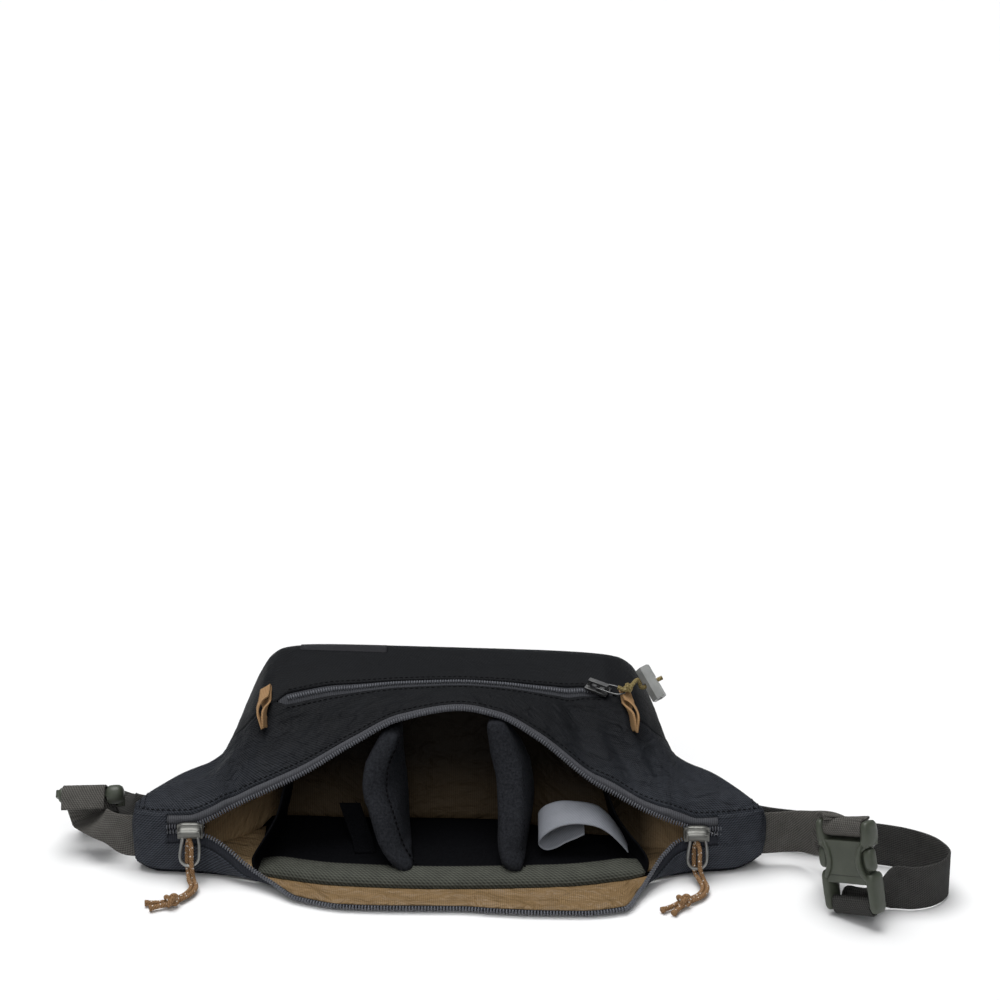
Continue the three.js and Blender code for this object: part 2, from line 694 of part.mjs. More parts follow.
// The floor pad with its rolled near edge, and the binding over the roll.
const PAD_ROLL = [
  { inward: 0, z: 5.4 },
  { inward: 0.6, z: 8.2 },
  { inward: 3, z: 10.6 },
  { inward: 7, z: 11.7 },
  { inward: 13, z: PAD_TOP_Z },
];
const padStations = stationsBetween(-PAD_HALF_X, PAD_HALF_X);

function padRow(x, level) {
  const near = backNearY(x) + PAD_INSET;
  const roll = PAD_ROLL.map((row) => vector(x, near + row.inward, level === "high" ? row.z : PAD_BOTTOM_Z));
  const rest = [-20, 20, farEdgeY(x) - 14].map((y) => {
    return vector(x, y, level === "high" ? PAD_TOP_Z : PAD_BOTTOM_Z);
  });
  return [...roll, ...rest];
}

const padHigh = padStations.map((x) => padRow(x, "high"));
const padLow = padStations.map((x) => padRow(x, "low"));
place("floor_pad", sheetBetween(padHigh, padLow), PAD_BLACK);

function bindingRow(x, away) {
  const near = backNearY(x) + PAD_INSET;
  return PAD_ROLL.map((row, k) => {
    const before = PAD_ROLL[Math.max(0, k - 1)];
    const after = PAD_ROLL[Math.min(PAD_ROLL.length - 1, k + 1)];
    const run = new THREE.Vector2(after.inward - before.inward, after.z - before.z).normalize();
    return vector(x, near + row.inward - run.y * away, row.z + run.x * away);
  });
}

const bindingOuter = padStations.map((x) => bindingRow(x, GAP + BINDING));
const bindingInner = padStations.map((x) => bindingRow(x, GAP));
place("pad_binding", sheetBetween(bindingOuter, bindingInner), BAND_GREEN);

// The padded dividers: a rounded oblong at each height.
const DIVIDER_OUTLINE = [
  { along: 0, end: -0.55, across: 0.75 },
  { along: 0, end: -1, across: 0 },
  { along: 0, end: -0.55, across: -0.75 },
  { along: 0.12, end: 0, across: -1 },
  { along: 0.5, end: 0, across: -1 },
  { along: 0.9, end: 0, across: -1 },
  { along: 1, end: 0, across: -0.6 },
  { along: 1, end: 0, across: 0.6 },
  { along: 0.9, end: 0, across: 1 },
  { along: 0.5, end: 0, across: 1 },
  { along: 0.12, end: 0, across: 1 },
];

function divider(rows) {
  const loops = rows.map((row) => {
    const near = vector(row.nearX, row.nearY, row.nearZ);
    const far = vector(row.farX, row.farY, row.farZ);
    const way = far.clone().sub(near).normalize();
    const side = vector(way.y, -way.x, 0).normalize();
    return DIVIDER_OUTLINE.map((point) => near.clone().lerp(far, point.along)
      .addScaledVector(way, point.end * row.half)
      .addScaledVector(side, point.across * row.half));
  });
  const outline = DIVIDER_OUTLINE.map((p) => new THREE.Vector2(p.across * 6, p.along * 60 + p.end * 6));
  return sweep(loops, outline);
}

place("divider_left", divider(DIVIDER_LEFT), DIVIDER_BLACK);
place("divider_right", divider(DIVIDER_RIGHT), DIVIDER_BLACK);
const TAB_LOW = [-57, -64, PAD_TOP_Z + GAP];
const TAB_HIGH = [-43.5, -34, PAD_TOP_Z + GAP + 2.2];
place("divider_tab_left", drawn(block(TAB_LOW, TAB_HIGH)), PAD_BLACK);

// A strip of webbing or ribbon along a route, with its width laid along a given way at each place.
// A way shorter than 1 gathers the strip to that share of its width.
function strip(places, widths, width, thick, steps) {
  const route = new THREE.CatmullRomCurve3(places, false, "centripetal");
  const lay = new THREE.CatmullRomCurve3(widths, false, "centripetal");
  const outline = [[-1, -1], [1, -1], [1, 1], [-1, 1]].map(([x, y]) => new THREE.Vector2(x, y));
  const loops = spread(0, 1, steps + 1).map((t) => {
    const tangent = route.getTangent(t);
    const across = lay.getPoint(t);
    const gathered = Math.min(1, across.length());
    across.addScaledVector(tangent, -across.dot(tangent)).normalize();
    const normal = vector(0, 0, 0).crossVectors(tangent, across);
    return outline.map((corner) => route.getPoint(t)
      .addScaledVector(across, (corner.x * gathered * width) / 2)
      .addScaledVector(normal, (corner.y * thick) / 2));
  });
  return sweep(loops, outline);
}

const labelPlaces = LABEL_BEND.map((row) => vector(row.x, LABEL_NEAR_Y + LABEL_WIDTH / 2, row.z));
const labelWidths = LABEL_BEND.map(() => vector(0, 1, 0));
place("care_label", strip(labelPlaces, labelWidths, LABEL_WIDTH, 0.8, 24), LABEL_WHITE);

// A slider astride a zip: a plate on each face, joined by a post where the coils part, and a bridge.
const SLIDER_LENGTH = 14;
const SLIDER_WIDTH = 8.4;
const PLATE_IN = 2.1;
const PLATE_OUT = 3.6;

function slider(withInside) {
  const half = SLIDER_LENGTH / 2;
  const across = SLIDER_WIDTH / 2;
  let shape = block([-half, -across, PLATE_IN], [half, across, PLATE_OUT]);
  const feet = [[-half + 0.8, -half + 2.6], [half - 2.6, half - 0.8]];
  for (const [low, high] of feet) {
    shape = shape.add(block([low, -1.6, PLATE_OUT - 0.1], [high, 1.6, 7]));
  }
  shape = shape.add(block([-half + 0.8, -1.6, 6.2], [half - 0.8, 1.6, 7.6]));
  if (withInside) {
    shape = shape.add(block([-half, -across, -PLATE_OUT], [half, across, -PLATE_IN]));
    shape = shape.add(block([half - 2, -0.8, -PLATE_IN - 0.1], [half - 0.4, 0.8, PLATE_IN + 0.1]));
  }
  return drawn(shape);
}

// A wire ring lying in its own plane, its top bar at the origin and its length along -y.
function pullRing(width, length, wire) {
  const outer = new THREE.Shape();
  const half = width / 2;
  outer.moveTo(-half + 1, wire / 2);
  outer.lineTo(half - 1, wire / 2);
  outer.quadraticCurveTo(half, wire / 2, half, wire / 2 - 1);
  outer.lineTo(half, -length + 2.5);
  outer.quadraticCurveTo(half, -length, half - 2.5, -length);
  outer.lineTo(-half + 2.5, -length);
  outer.quadraticCurveTo(-half, -length, -half, -length + 2.5);
  outer.lineTo(-half, wire / 2 - 1);
  outer.quadraticCurveTo(-half, wire / 2, -half + 1, wire / 2);
  const hole = new THREE.Path();
  const inner = half - wire;
  hole.moveTo(-inner, -wire / 2);
  hole.lineTo(-inner, -length + wire + 1);
  hole.quadraticCurveTo(-inner, -length + wire, -inner + 1, -length + wire);
  hole.lineTo(inner - 1, -length + wire);
  hole.quadraticCurveTo(inner, -length + wire, inner, -length + wire + 1);
  hole.lineTo(inner, -wire / 2);
  hole.closePath();
  outer.holes.push(hole);
  const ring = new THREE.ExtrudeGeometry(outer, { depth: wire, bevelEnabled: false, curveSegments: 3 });
  ring.translate(0, 0, -wire / 2);
  return drawn(solid(ring));
}

// A body moved into a frame given by its three axes and its place.
function seated(geometry, xAxis, yAxis, zAxis, origin) {
  const frame = new THREE.Matrix4().makeBasis(xAxis, yAxis, zAxis).setPosition(origin);
  return geometry.applyMatrix4(frame);
}

// A round cord along a smooth line through points.
function cordAlong(points, thick, steps) {
  const ring = new THREE.Shape();
  ring.absarc(0, 0, thick / 2, 0, Math.PI * 2, false);
  const path = new THREE.CatmullRomCurve3(points, false, "centripetal");
  const options = { steps, bevelEnabled: false, extrudePath: path, curveSegments: CORD_SIDES / 2 };
  return drawn(solid(new THREE.ExtrudeGeometry(ring, options)));
}

// The main sliders, their rings, cords and knots. toMouth is the way from the slider to the open mouth.
const BAR_STANDS_OFF = 4.75;
const RING_WIRE = 1.6;
const RING_WIDTH = 7;
const RING_LENGTH = 16;
const RING_TILT = THREE.MathUtils.degToRad(17);

// The cord's middle line from the ring to the knot, as offsets from the slider's place on the floor.
const CORD_LAY_LEFT = [
  { x: 1.5, y: -82, z: 4.4 },
  { x: 3.5, y: -88, z: 3 },
  { x: 1, y: -96, z: 2.4 },
  { x: -3.5, y: -102, z: 2.4 },
];
const CORD_LAY_RIGHT = [
  { x: 2, y: -82, z: 4.4 },
  { x: 3.5, y: -89, z: 3 },
  { x: 0.5, y: -97, z: 2.4 },
  { x: -6, y: -103, z: 2.4 },
];
const STRAND = CORD / 2 + 0.25;

function mainPull(side, sliderX, toMouth, lay) {
  const zipY = upperY(sliderX);
  const zipZ = upperZ(sliderX);
  const xAxis = vector(toMouth, 0, 0);
  const outward = vector(0, -1, 0);
  const yAxis = vector(0, 0, 0).crossVectors(outward, xAxis);
  place(`main_slider_${side}`, seated(slider(true), xAxis, yAxis, outward, vector(sliderX, zipY, zipZ)), PEWTER);

  const barPlace = vector(sliderX, zipY - BAR_STANDS_OFF, zipZ);
  const ringUp = vector(0, Math.sin(RING_TILT), Math.cos(RING_TILT));
  const ringOut = vector(0, -Math.cos(RING_TILT), Math.sin(RING_TILT));
  const ring = pullRing(RING_WIDTH, RING_LENGTH, RING_WIRE);
  place(`main_pull_${side}`, seated(ring, vector(1, 0, 0), ringUp, ringOut, barPlace), PEWTER);

  const lowBar = barPlace.clone().addScaledVector(ringUp, -RING_LENGTH + RING_WIRE / 2);
  const around = RING_WIRE / 2 + 3 * GAP + CORD / 2;
  const strand = (sign) => lay.map((row, k) => {
    const after = lay[Math.min(lay.length - 1, k + 1)];
    const before = lay[Math.max(0, k - 1)];
    const way = new THREE.Vector2(after.x - before.x, after.y - before.y).normalize();
    return vector(sliderX + row.x - way.y * STRAND * sign, row.y + way.x * STRAND * sign, row.z);
  });
  const overBar = [
    lowBar.clone().add(vector(0.6, -around, -0.6)),
    lowBar.clone().add(vector(0, 0, around + 0.3)),
    lowBar.clone().add(vector(-0.6, around, -0.6)),
    lowBar.clone().add(vector(-0.3, 0.6, -around - 1.4)),
  ];
  const points = [...strand(1).reverse(), ...overBar, ...strand(-1)];
  place(`pull_cord_${side}`, cordAlong(points, CORD, 27), CORD_TAN);

  const last = lay[lay.length - 1];
  const before = lay[lay.length - 2];
  const way = vector(last.x - before.x, last.y - before.y, 0).normalize();
  const across = vector(-way.y, way.x, 0);
  const knotPlace = vector(sliderX + last.x, last.y, 4).addScaledVector(way, 5.2);
  const knot = new THREE.IcosahedronGeometry(1, 1);
  knot.scale(4.6, 4.8, 3.7);
  let shape = solid(seated(knot, way, across, vector(0, 0, 1), knotPlace));
  for (const sign of [-1, 1]) {
    const start = knotPlace.clone().addScaledVector(across, 1.7 * sign).add(vector(0, 0, -1));
    const end = start.clone().addScaledVector(way, 13).addScaledVector(across, 1.5 * sign);
    end.z = CORD / 2 + 0.3;
    shape = shape.add(solid(cordAlong([start, start.clone().lerp(end, 0.5), end], CORD, 3)));
  }
  place(`pull_knot_${side}`, drawn(shape), CORD_TAN);
}

mainPull("left", MAIN_SLIDER_LEFT_X, 1, CORD_LAY_LEFT);
mainPull("right", MAIN_SLIDER_RIGHT_X, -1, CORD_LAY_RIGHT);

// The closed pocket zip along its seam.
const POCKET_ZIP_SECTION = [
  { s: -POCKET_ZIP_HALF_WIDTH + GAP, away: -1.2 },
  { s: -POCKET_ZIP_HALF_WIDTH + GAP, away: -0.2 },
  { s: -2, away: -0.2 },
  { s: -1.5, away: 0.8 },
  { s: 1.5, away: 0.8 },
  { s: 2, away: -0.2 },
  { s: POCKET_ZIP_HALF_WIDTH - GAP, away: -0.2 },
  { s: POCKET_ZIP_HALF_WIDTH - GAP, away: -1.2 },
];
const pocketZipStations = stationsBetween(-POCKET_ZIP_HALF_X, POCKET_ZIP_HALF_X);
const pocketZipLoops = pocketZipStations.map((x) => {
  return POCKET_ZIP_SECTION.map((row) => offFront(x, seamDistance(x) + row.s, row.away));
});
const pocketZipOutline = POCKET_ZIP_SECTION.map((row) => new THREE.Vector2(row.s, row.away));
place("pocket_zip", sweep(pocketZipLoops, pocketZipOutline), ZIP_GREY);

// Axes on the front at a place: along x, across the section and outward.
function frontFrame(x, s) {
  const step = 0.5;
  const xAxis = frontPoint(x + step, s).sub(frontPoint(x - step, s)).normalize();
  const outward = offFront(x, s, 1).sub(offFront(x, s, 0)).normalize();
  const yAxis = vector(0, 0, 0).crossVectors(outward, xAxis).normalize();
  return { xAxis, yAxis, outward };
}

// The pocket zip's slider, ring, cord and toggle.
const POCKET_SLIDER_X = 87;
const pocketS = seamDistance(POCKET_SLIDER_X);
const pocketFrame = frontFrame(POCKET_SLIDER_X, pocketS);
const pocketSeat = offFront(POCKET_SLIDER_X, pocketS, 0.2);
const { xAxis: zipWay, yAxis: zipSide, outward: zipOut } = pocketFrame;
place("pocket_slider", seated(slider(false), zipWay, zipSide, zipOut, pocketSeat), PEWTER);
const POCKET_RING_LENGTH = 17;
const POCKET_RING_WIDTH = 6.2;
const pocketBar = pocketSeat.clone().addScaledVector(zipOut, BAR_STANDS_OFF);
const ringAlong = zipWay.clone().addScaledVector(zipOut, 0.12).normalize();
const ringAcross = zipSide.clone();
const ringFace = vector(0, 0, 0).crossVectors(ringAlong, ringAcross).normalize();
const pocketRing = pullRing(POCKET_RING_WIDTH, POCKET_RING_LENGTH, 1);
place("pocket_pull", seated(pocketRing, ringAcross, ringAlong.clone().negate(), ringFace, pocketBar), PEWTER);

// The six-sided toggle, bored along its length, with a cross hole that the cord runs through.
const TOGGLE_LENGTH = 21;
const TOGGLE_ACROSS = 8;
const TOGGLE_BORE = 3.6;
const CROSS_HOLE = 3.6;
const TOGGLE_PLACE = vector(118.5, 14, 83);
const TOGGLE_WAY = vector(10, -11, -15).normalize();
const TOGGLE_CORD_WAY = vector(0.93, 0.33, 0.3);
TOGGLE_CORD_WAY.addScaledVector(TOGGLE_WAY, -TOGGLE_CORD_WAY.dot(TOGGLE_WAY)).normalize();
const toggleSide = vector(0, 0, 0).crossVectors(TOGGLE_WAY, TOGGLE_CORD_WAY);
const hexagon = new THREE.Shape();
const corners = spread(0, 5, 6).map((k) => (Math.PI / 3) * k);
const toggleRadius = TOGGLE_ACROSS / Math.sqrt(3);
hexagon.setFromPoints(corners.map((a) => new THREE.Vector2(Math.cos(a), Math.sin(a)).multiplyScalar(toggleRadius)));
const bore = new THREE.Path();
bore.absarc(0, 0, TOGGLE_BORE / 2, 0, Math.PI * 2, true);
hexagon.holes.push(bore);
const hexTube = new THREE.ExtrudeGeometry(hexagon, { depth: TOGGLE_LENGTH, bevelEnabled: false, curveSegments: 10 });
hexTube.translate(0, 0, -TOGGLE_LENGTH / 2);
const crossHole = new THREE.CylinderGeometry(CROSS_HOLE / 2, CROSS_HOLE / 2, 20, 10);
crossHole.rotateZ(Math.PI / 2);
const toggle = drawn(solid(hexTube).subtract(solid(crossHole)));
place("pocket_toggle", seated(toggle, TOGGLE_CORD_WAY, toggleSide, TOGGLE_WAY, TOGGLE_PLACE), TOGGLE_GREY);

const pocketRingEnd = pocketBar.clone().addScaledVector(ringAlong, POCKET_RING_LENGTH - 0.5);
const cordPoints = [
  pocketRingEnd.clone().addScaledVector(ringAlong, -4).addScaledVector(ringFace, 2.6),
  pocketRingEnd.clone().addScaledVector(ringAlong, 1).addScaledVector(ringFace, 2.2),
  pocketRingEnd.clone().lerp(TOGGLE_PLACE, 0.5).add(vector(0, 2.5, 4)),
  TOGGLE_PLACE.clone().addScaledVector(TOGGLE_CORD_WAY, -6),
  TOGGLE_PLACE.clone(),
  TOGGLE_PLACE.clone().addScaledVector(TOGGLE_CORD_WAY, 7.5),
];
place("pocket_cord", cordAlong(cordPoints, POCKET_CORD, 14), CORD_OLIVE);

// The side loops: a ribbon folded on itself, its ends in the seam.
const LOOP_LENGTH = 31;
const LOOP_HALF_WIDTH = 4;
const LOOP_RIBBON = 1.3;
const LOOP_DEEP = 5.5;
const SIDE_LOOPS = [
  { name: "side_loop_left", x: -104, y: -11, turn: 0.06 },
  { name: "side_loop_right", x: 105, y: -6, turn: 0.2 },
];

function lens(length, half) {
  const curve = new THREE.Path();
  curve.moveTo(0, -length / 2);
  curve.bezierCurveTo(half * 0.8, -length * 0.2, half * 1.25, length * 0.2, half * 0.45, length / 2);
  curve.lineTo(-half * 0.45, length / 2);
  curve.bezierCurveTo(-half * 1.25, length * 0.2, -half * 0.8, -length * 0.2, 0, -length / 2);
  return curve.getPoints(7);
}

for (const loop of SIDE_LOOPS) {
  const s = frontDistanceAt(loop.x, loop.y);
  const { xAxis, yAxis, outward } = frontFrame(loop.x, s);
  const outline = new THREE.Shape(lens(LOOP_LENGTH, LOOP_HALF_WIDTH));
  const hole = new THREE.Path(lens(LOOP_LENGTH - 4 * LOOP_RIBBON, LOOP_HALF_WIDTH - LOOP_RIBBON).reverse());
  outline.holes.push(hole);
  const ribbon = new THREE.ExtrudeGeometry(outline, { depth: LOOP_DEEP, bevelEnabled: false });
  ribbon.rotateZ(loop.turn);
  const seat = offFront(loop.x, s, 0.9);
  place(loop.name, seated(drawn(solid(ribbon)), xAxis, yAxis, outward, seat), LOOP_TAN);
}

// The bare label on the far top edge.
const labelStations = [-89, -72, -54, -37];
const labelDistances = (x) => spread(frontDistanceAt(x, 51), frontDistanceAt(x, 51) + 15, 4);
place("front_label", frontSheet(labelStations, labelDistances, 1.1, GAP), LABEL_BLACK);

// The buckle's own frame: u from its top bar to its bottom bar, w across it, n out of its face.
const buckleU = BUCKLE_BOTTOM.clone().sub(BUCKLE_TOP).normalize();
const buckleW = BUCKLE_ACROSS.clone().addScaledVector(buckleU, -BUCKLE_ACROSS.dot(buckleU)).normalize();
const buckleN = vector(0, 0, 0).crossVectors(buckleU, buckleW).normalize();
const onBuckle = (u, n) => BUCKLE_TOP.clone().addScaledVector(buckleU, u).addScaledVector(buckleN, n);

const BUCKLE_HALF_WIDTH = 16;
const BUCKLE_HALF_THICK = 5.2;
const BAR_HALF_THICK = 2;
const RAIL_HALF_THICK = 3.6;
const SLOT_HALF_WIDTH = 13;
const SOCKET_HALF_WIDTH = 14.4;
const SOCKET_HALF_THICK = 3.4;
const WAIST_RADIUS = 9;
const WAIST_PLACE = 17.5;
const WAIST_DEPTH = 6;
const FEMALE_END = 25;
const BUCKLE_LENGTH = BUCKLE_BOTTOM.distanceTo(BUCKLE_TOP);

// The socket: a hollow body under a slotted bar, its sides waisted so that the prongs show.
function waistCut(sign) {
  const cut = new THREE.CylinderGeometry(WAIST_RADIUS, WAIST_RADIUS, 40, 32);
  cut.rotateX(Math.PI / 2);
  cut.translate(WAIST_PLACE, sign * (BUCKLE_HALF_WIDTH - WAIST_DEPTH + WAIST_RADIUS), 0);
  return solid(cut);
}

const halfW = BUCKLE_HALF_WIDTH;
const slotW = SLOT_HALF_WIDTH;
const socketW = SOCKET_HALF_WIDTH;
let female = block([6, -halfW, -BUCKLE_HALF_THICK], [FEMALE_END, halfW, BUCKLE_HALF_THICK]);
female = female.add(block([-3, -slotW, -BAR_HALF_THICK], [1.6, slotW, BAR_HALF_THICK]));
for (const [low, high] of [[-halfW, -slotW], [slotW, halfW]]) {
  female = female.add(block([-3, low, -RAIL_HALF_THICK], [7, high, RAIL_HALF_THICK]));
}
female = female.subtract(block([9, -socketW, -SOCKET_HALF_THICK], [FEMALE_END + 1, socketW, SOCKET_HALF_THICK]));
female = female.subtract(waistCut(1)).subtract(waistCut(-1));
place("buckle_female", seated(drawn(female), buckleU, buckleW, buckleN, BUCKLE_TOP), BUCKLE_OLIVE);

// The plug: a collar, two sprung prongs and a middle guide in the socket, and rails to the lower bar.
const PRONG_TIP = 12.6;
const PRONG_IN = 8.8;
const PRONG_OUT = 14;
const PRONG_HALF_THICK = 3.1;
const COLLAR_END = 29.5;
const maleStart = FEMALE_END + GAP;
const maleEnd = BUCKLE_LENGTH + 2.6;

function prong(sign) {
  const middle = (sign * (PRONG_IN + PRONG_OUT)) / 2;
  const radius = (PRONG_OUT - PRONG_IN) / 2;
  const tip = new THREE.CylinderGeometry(radius, radius, 2 * PRONG_HALF_THICK, 20);
  tip.rotateX(Math.PI / 2);
  tip.translate(PRONG_TIP, middle, 0);
  const low = [PRONG_TIP, middle - radius, -PRONG_HALF_THICK];
  const high = [maleStart + 1, middle + radius, PRONG_HALF_THICK];
  return solid(tip).add(block(low, high));
}

let male = block([maleStart, -halfW, -BUCKLE_HALF_THICK + 0.4], [COLLAR_END, halfW, BUCKLE_HALF_THICK - 0.4]);
male = male.add(prong(1)).add(prong(-1));
male = male.add(block([12, -2.4, -2.4], [maleStart + 1, 2.4, 2.4]));
male = male.add(block([40, -slotW, -BAR_HALF_THICK], [maleEnd, slotW, BAR_HALF_THICK]));
for (const [low, high] of [[-halfW, -slotW], [slotW, halfW]]) {
  male = male.add(block([COLLAR_END - 1, low, -RAIL_HALF_THICK], [maleEnd, high, RAIL_HALF_THICK]));
}
place("buckle_male", seated(drawn(male), buckleU, buckleW, buckleN, BUCKLE_TOP), BUCKLE_OLIVE);

// The belt: round the buckle's bottom bar, then along its route to the left wing's lock.
const BAR_WRAP = [
  { u: 37.6, n: 1.4 },
  { u: 38.6, n: 3.2 },
  { u: 41, n: 3.8 },
  { u: 44.6, n: 3.5 },
  { u: 46.6, n: 2 },
  { u: 47, n: 0 },
  { u: 46.6, n: -2 },
  { u: 44.6, n: -3.5 },
  { u: 41, n: -4.4 },
  { u: 37, n: -7 },
];
const lockX = vector(1, 0, 0).addScaledVector(LOCK_LIE, -LOCK_LIE.x).normalize();
const lockN = vector(0, 0, 0).crossVectors(lockX, LOCK_LIE).normalize();
const onLock = (v, n) => LOCK_BAR.clone().addScaledVector(LOCK_LIE, v).addScaledVector(lockN, n);
const LOCK_WRAP = [
  { v: 31, n: -4.6 },
  { v: 26, n: -4 },
  { v: 22.2, n: -3.8 },
  { v: 19.6, n: -2.2 },
  { v: 19, n: 0 },
  { v: 19.6, n: 2.2 },
  { v: 22.2, n: 3.8 },
  { v: 26, n: 3.6 },
];
const belly = (angle) => {
  const turn = THREE.MathUtils.degToRad(angle);
  const across = Math.sign(Math.cos(turn)) * Math.pow(Math.abs(Math.cos(turn)), 2 / BODY_ROUNDNESS);
  const back = Math.pow(Math.sin(turn), 2 / BODY_ROUNDNESS);
  const reach = bodyReach(across);
  return vector(reach * across, mix(wingFarY(reach), BODY_FAR_Y, back), BELT_MIDDLE_Z);
};
const roundBody = BELT_ROUND_ANGLES.map((angle) => {
  const way = belly(angle + 0.5).sub(belly(angle - 0.5)).normalize();
  return belly(angle).add(vector(way.y, -way.x, 0).multiplyScalar(BELT_HUGS));
});
const beltPlaces = [
  ...BAR_WRAP.map((row) => onBuckle(row.u, row.n)),
  ...BELT_BEND.map((row) => vector(row.x, row.y, BELT_MIDDLE_Z)),
  ...roundBody,
  ...BELT_TO_LOCK.map((row) => vector(row.x, row.y, row.z)),
  ...LOCK_WRAP.map((row) => onLock(row.v, row.n)),
];
const upright = vector(0, 0, 1);
const beltWidths = [
  ...BAR_WRAP.map(() => buckleW.clone()),
  ...BELT_BEND.map((row) => vector(row.lean, 0, 1).normalize()),
  ...roundBody.map(() => upright.clone()),
  ...BELT_TO_LOCK.map((row) => vector(row.leanX, 0, row.leanZ).normalize()),
  ...LOCK_WRAP.map(() => lockX.clone()),
];
place("belt_strap", strip(beltPlaces, beltWidths, WEBBING_WIDTH, WEBBING_THICK, 96), WEBBING);

// The right wing's strap: from inside the wing's end to the buckle's top bar and back on itself.
const STRAP_INSIDE_Z = 18.5;
const RIGHT_STRAP = [
  { x: 166, y: -53, z: STRAP_INSIDE_Z, turned: 0 },
  { x: 178.2, y: -52.2, z: STRAP_INSIDE_Z, turned: 0 },
  { x: 197, y: -53, z: 20, turned: 0.05 },
  { x: 208, y: -66, z: 25, turned: 0.25 },
  { x: 213, y: -86, z: 37, turned: 0.7 },
  { x: 215, y: -101, z: 50, turned: 1 },
];
const TOP_BAR_WRAP = [
  { u: -5, n: -1 },
  { u: -4.5, n: 2.2 },
  { u: -1.6, n: 3.9 },
  { u: 1.4, n: 3.9 },
  { u: 3.4, n: 2.2 },
  { u: 3.7, n: -0.6 },
  { u: 3.4, n: -3.4 },
  { u: 1.4, n: -4.5 },
];
const rightPlaces = [
  ...RIGHT_STRAP.map((row) => vector(row.x, row.y, row.z)),
  ...TOP_BAR_WRAP.map((row) => onBuckle(row.u, row.n)),
];
const rightWidths = [
  ...RIGHT_STRAP.map((row) => upright.clone().lerp(buckleW, row.turned).normalize()),
  ...TOP_BAR_WRAP.map(() => buckleW.clone()),
];
place("wing_strap_right", strip(rightPlaces, rightWidths, WEBBING_WIDTH, WEBBING_THICK, 32), WEBBING);

// The left wing's adjuster: a frame with two bars across it.
const LOCK_HALF_X = 17;
let lock = block([-LOCK_HALF_X, -3, -2.2], [LOCK_HALF_X, LOCK_LENGTH + 1, 2.2]);
lock = lock.subtract(block([-13.4, 2.2, -5], [13.4, 8, 5]));
lock = lock.subtract(block([-13.4, 11.5, -5], [13.4, 21, 5]));
place("ladder_lock", seated(drawn(lock), lockX, LOCK_LIE, lockN, LOCK_BAR), BUCKLE_OLIVE);

// The left wing's strap: from inside the wing's end, up behind the bar and folded down over its front.
const leftPlaces = [
  vector(-164, -54, STRAP_INSIDE_Z),
  vector(-179, -54.6, STRAP_INSIDE_Z),
  vector(-193, -49, 22),
  onLock(9, -10.5),
  onLock(5.4, -5.4),
  onLock(4.4, -1.5),
  onLock(4, 1.6),
  onLock(2.2, 3.8),
  onLock(-0.4, 4),
  onLock(-3.4, 3.7),
  onLock(-5.2, 2),
  onLock(-5.6, -2),
  onLock(-3.6, -9),
];
const leftWidths = leftPlaces.map((_, k) => {
  const turn = clamp((k - 1) / 2.4, 0, 1);
  return upright.clone().lerp(lockX, turn);
});
place("wing_strap_left", strip(leftPlaces, leftWidths, WEBBING_WIDTH, WEBBING_THICK, 32), WEBBING);

export default group;
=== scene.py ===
import math

import bpy
import numpy as np
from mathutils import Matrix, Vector, noise


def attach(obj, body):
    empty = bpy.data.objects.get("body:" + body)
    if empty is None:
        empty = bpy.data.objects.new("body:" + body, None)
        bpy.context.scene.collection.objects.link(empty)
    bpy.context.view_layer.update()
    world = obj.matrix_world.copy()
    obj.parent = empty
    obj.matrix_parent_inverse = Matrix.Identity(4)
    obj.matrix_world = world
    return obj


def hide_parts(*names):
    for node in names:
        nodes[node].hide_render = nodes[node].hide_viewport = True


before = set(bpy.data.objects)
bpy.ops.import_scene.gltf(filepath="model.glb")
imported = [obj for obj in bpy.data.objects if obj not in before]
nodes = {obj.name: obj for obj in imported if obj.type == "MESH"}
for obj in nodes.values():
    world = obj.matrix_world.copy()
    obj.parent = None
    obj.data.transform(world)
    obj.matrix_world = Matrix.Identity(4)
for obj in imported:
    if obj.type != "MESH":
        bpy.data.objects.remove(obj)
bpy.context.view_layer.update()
scene = bpy.context.scene

# The view: a long lens above the mouth's side, looking down into the open pouch.
# A wide white floor and large soft lamps overhead and in front make the pale studio.
# The floor and lamps are not part of the pouch.
camera_data = bpy.data.cameras.new("camera")
camera_data.lens = 85
camera_data.sensor_width = 36
camera = bpy.data.objects.new("camera", camera_data)
camera.location = (0.0305, -1.2693, 0.5918)
camera.rotation_euler = (math.radians(72.81), 0, 0)
scene.collection.objects.link(camera)
scene.camera = camera
scene.view_settings.view_transform = "Standard"

world = bpy.data.worlds.new("studio")
world.use_nodes = True
background = world.node_tree.nodes["Background"].inputs
background["Color"].default_value = (0.93, 0.96, 1, 1)
background["Strength"].default_value = 0.15
scene.world = world

front_data = bpy.data.lights.new("lamp_front", "AREA")
front_data.shape = "RECTANGLE"
front_data.size, front_data.size_y, front_data.energy = 1.4, 0.9, 2
front_lamp = bpy.data.objects.new("lamp_front", front_data)
front_lamp.location = (0.2, -1.6, 1.5)
front_way = Vector((0, 0, 0.04)) - Vector((0.2, -1.6, 1.5))
front_lamp.rotation_euler = front_way.to_track_quat("-Z", "Y").to_euler()
scene.collection.objects.link(front_lamp)
for name, strength, spread, tilt, lean in (
    ("lamp_sky", 2.75, 46, -10, -8),
    ("lamp_fill", 0.7, 60, 50, -10),
):
    sky_data = bpy.data.lights.new(name, "SUN")
    sky_data.energy = strength
    sky_data.angle = math.radians(spread)
    sky = bpy.data.objects.new(name, sky_data)
    sky.rotation_euler = (math.radians(tilt), math.radians(lean), 0)
    scene.collection.objects.link(sky)

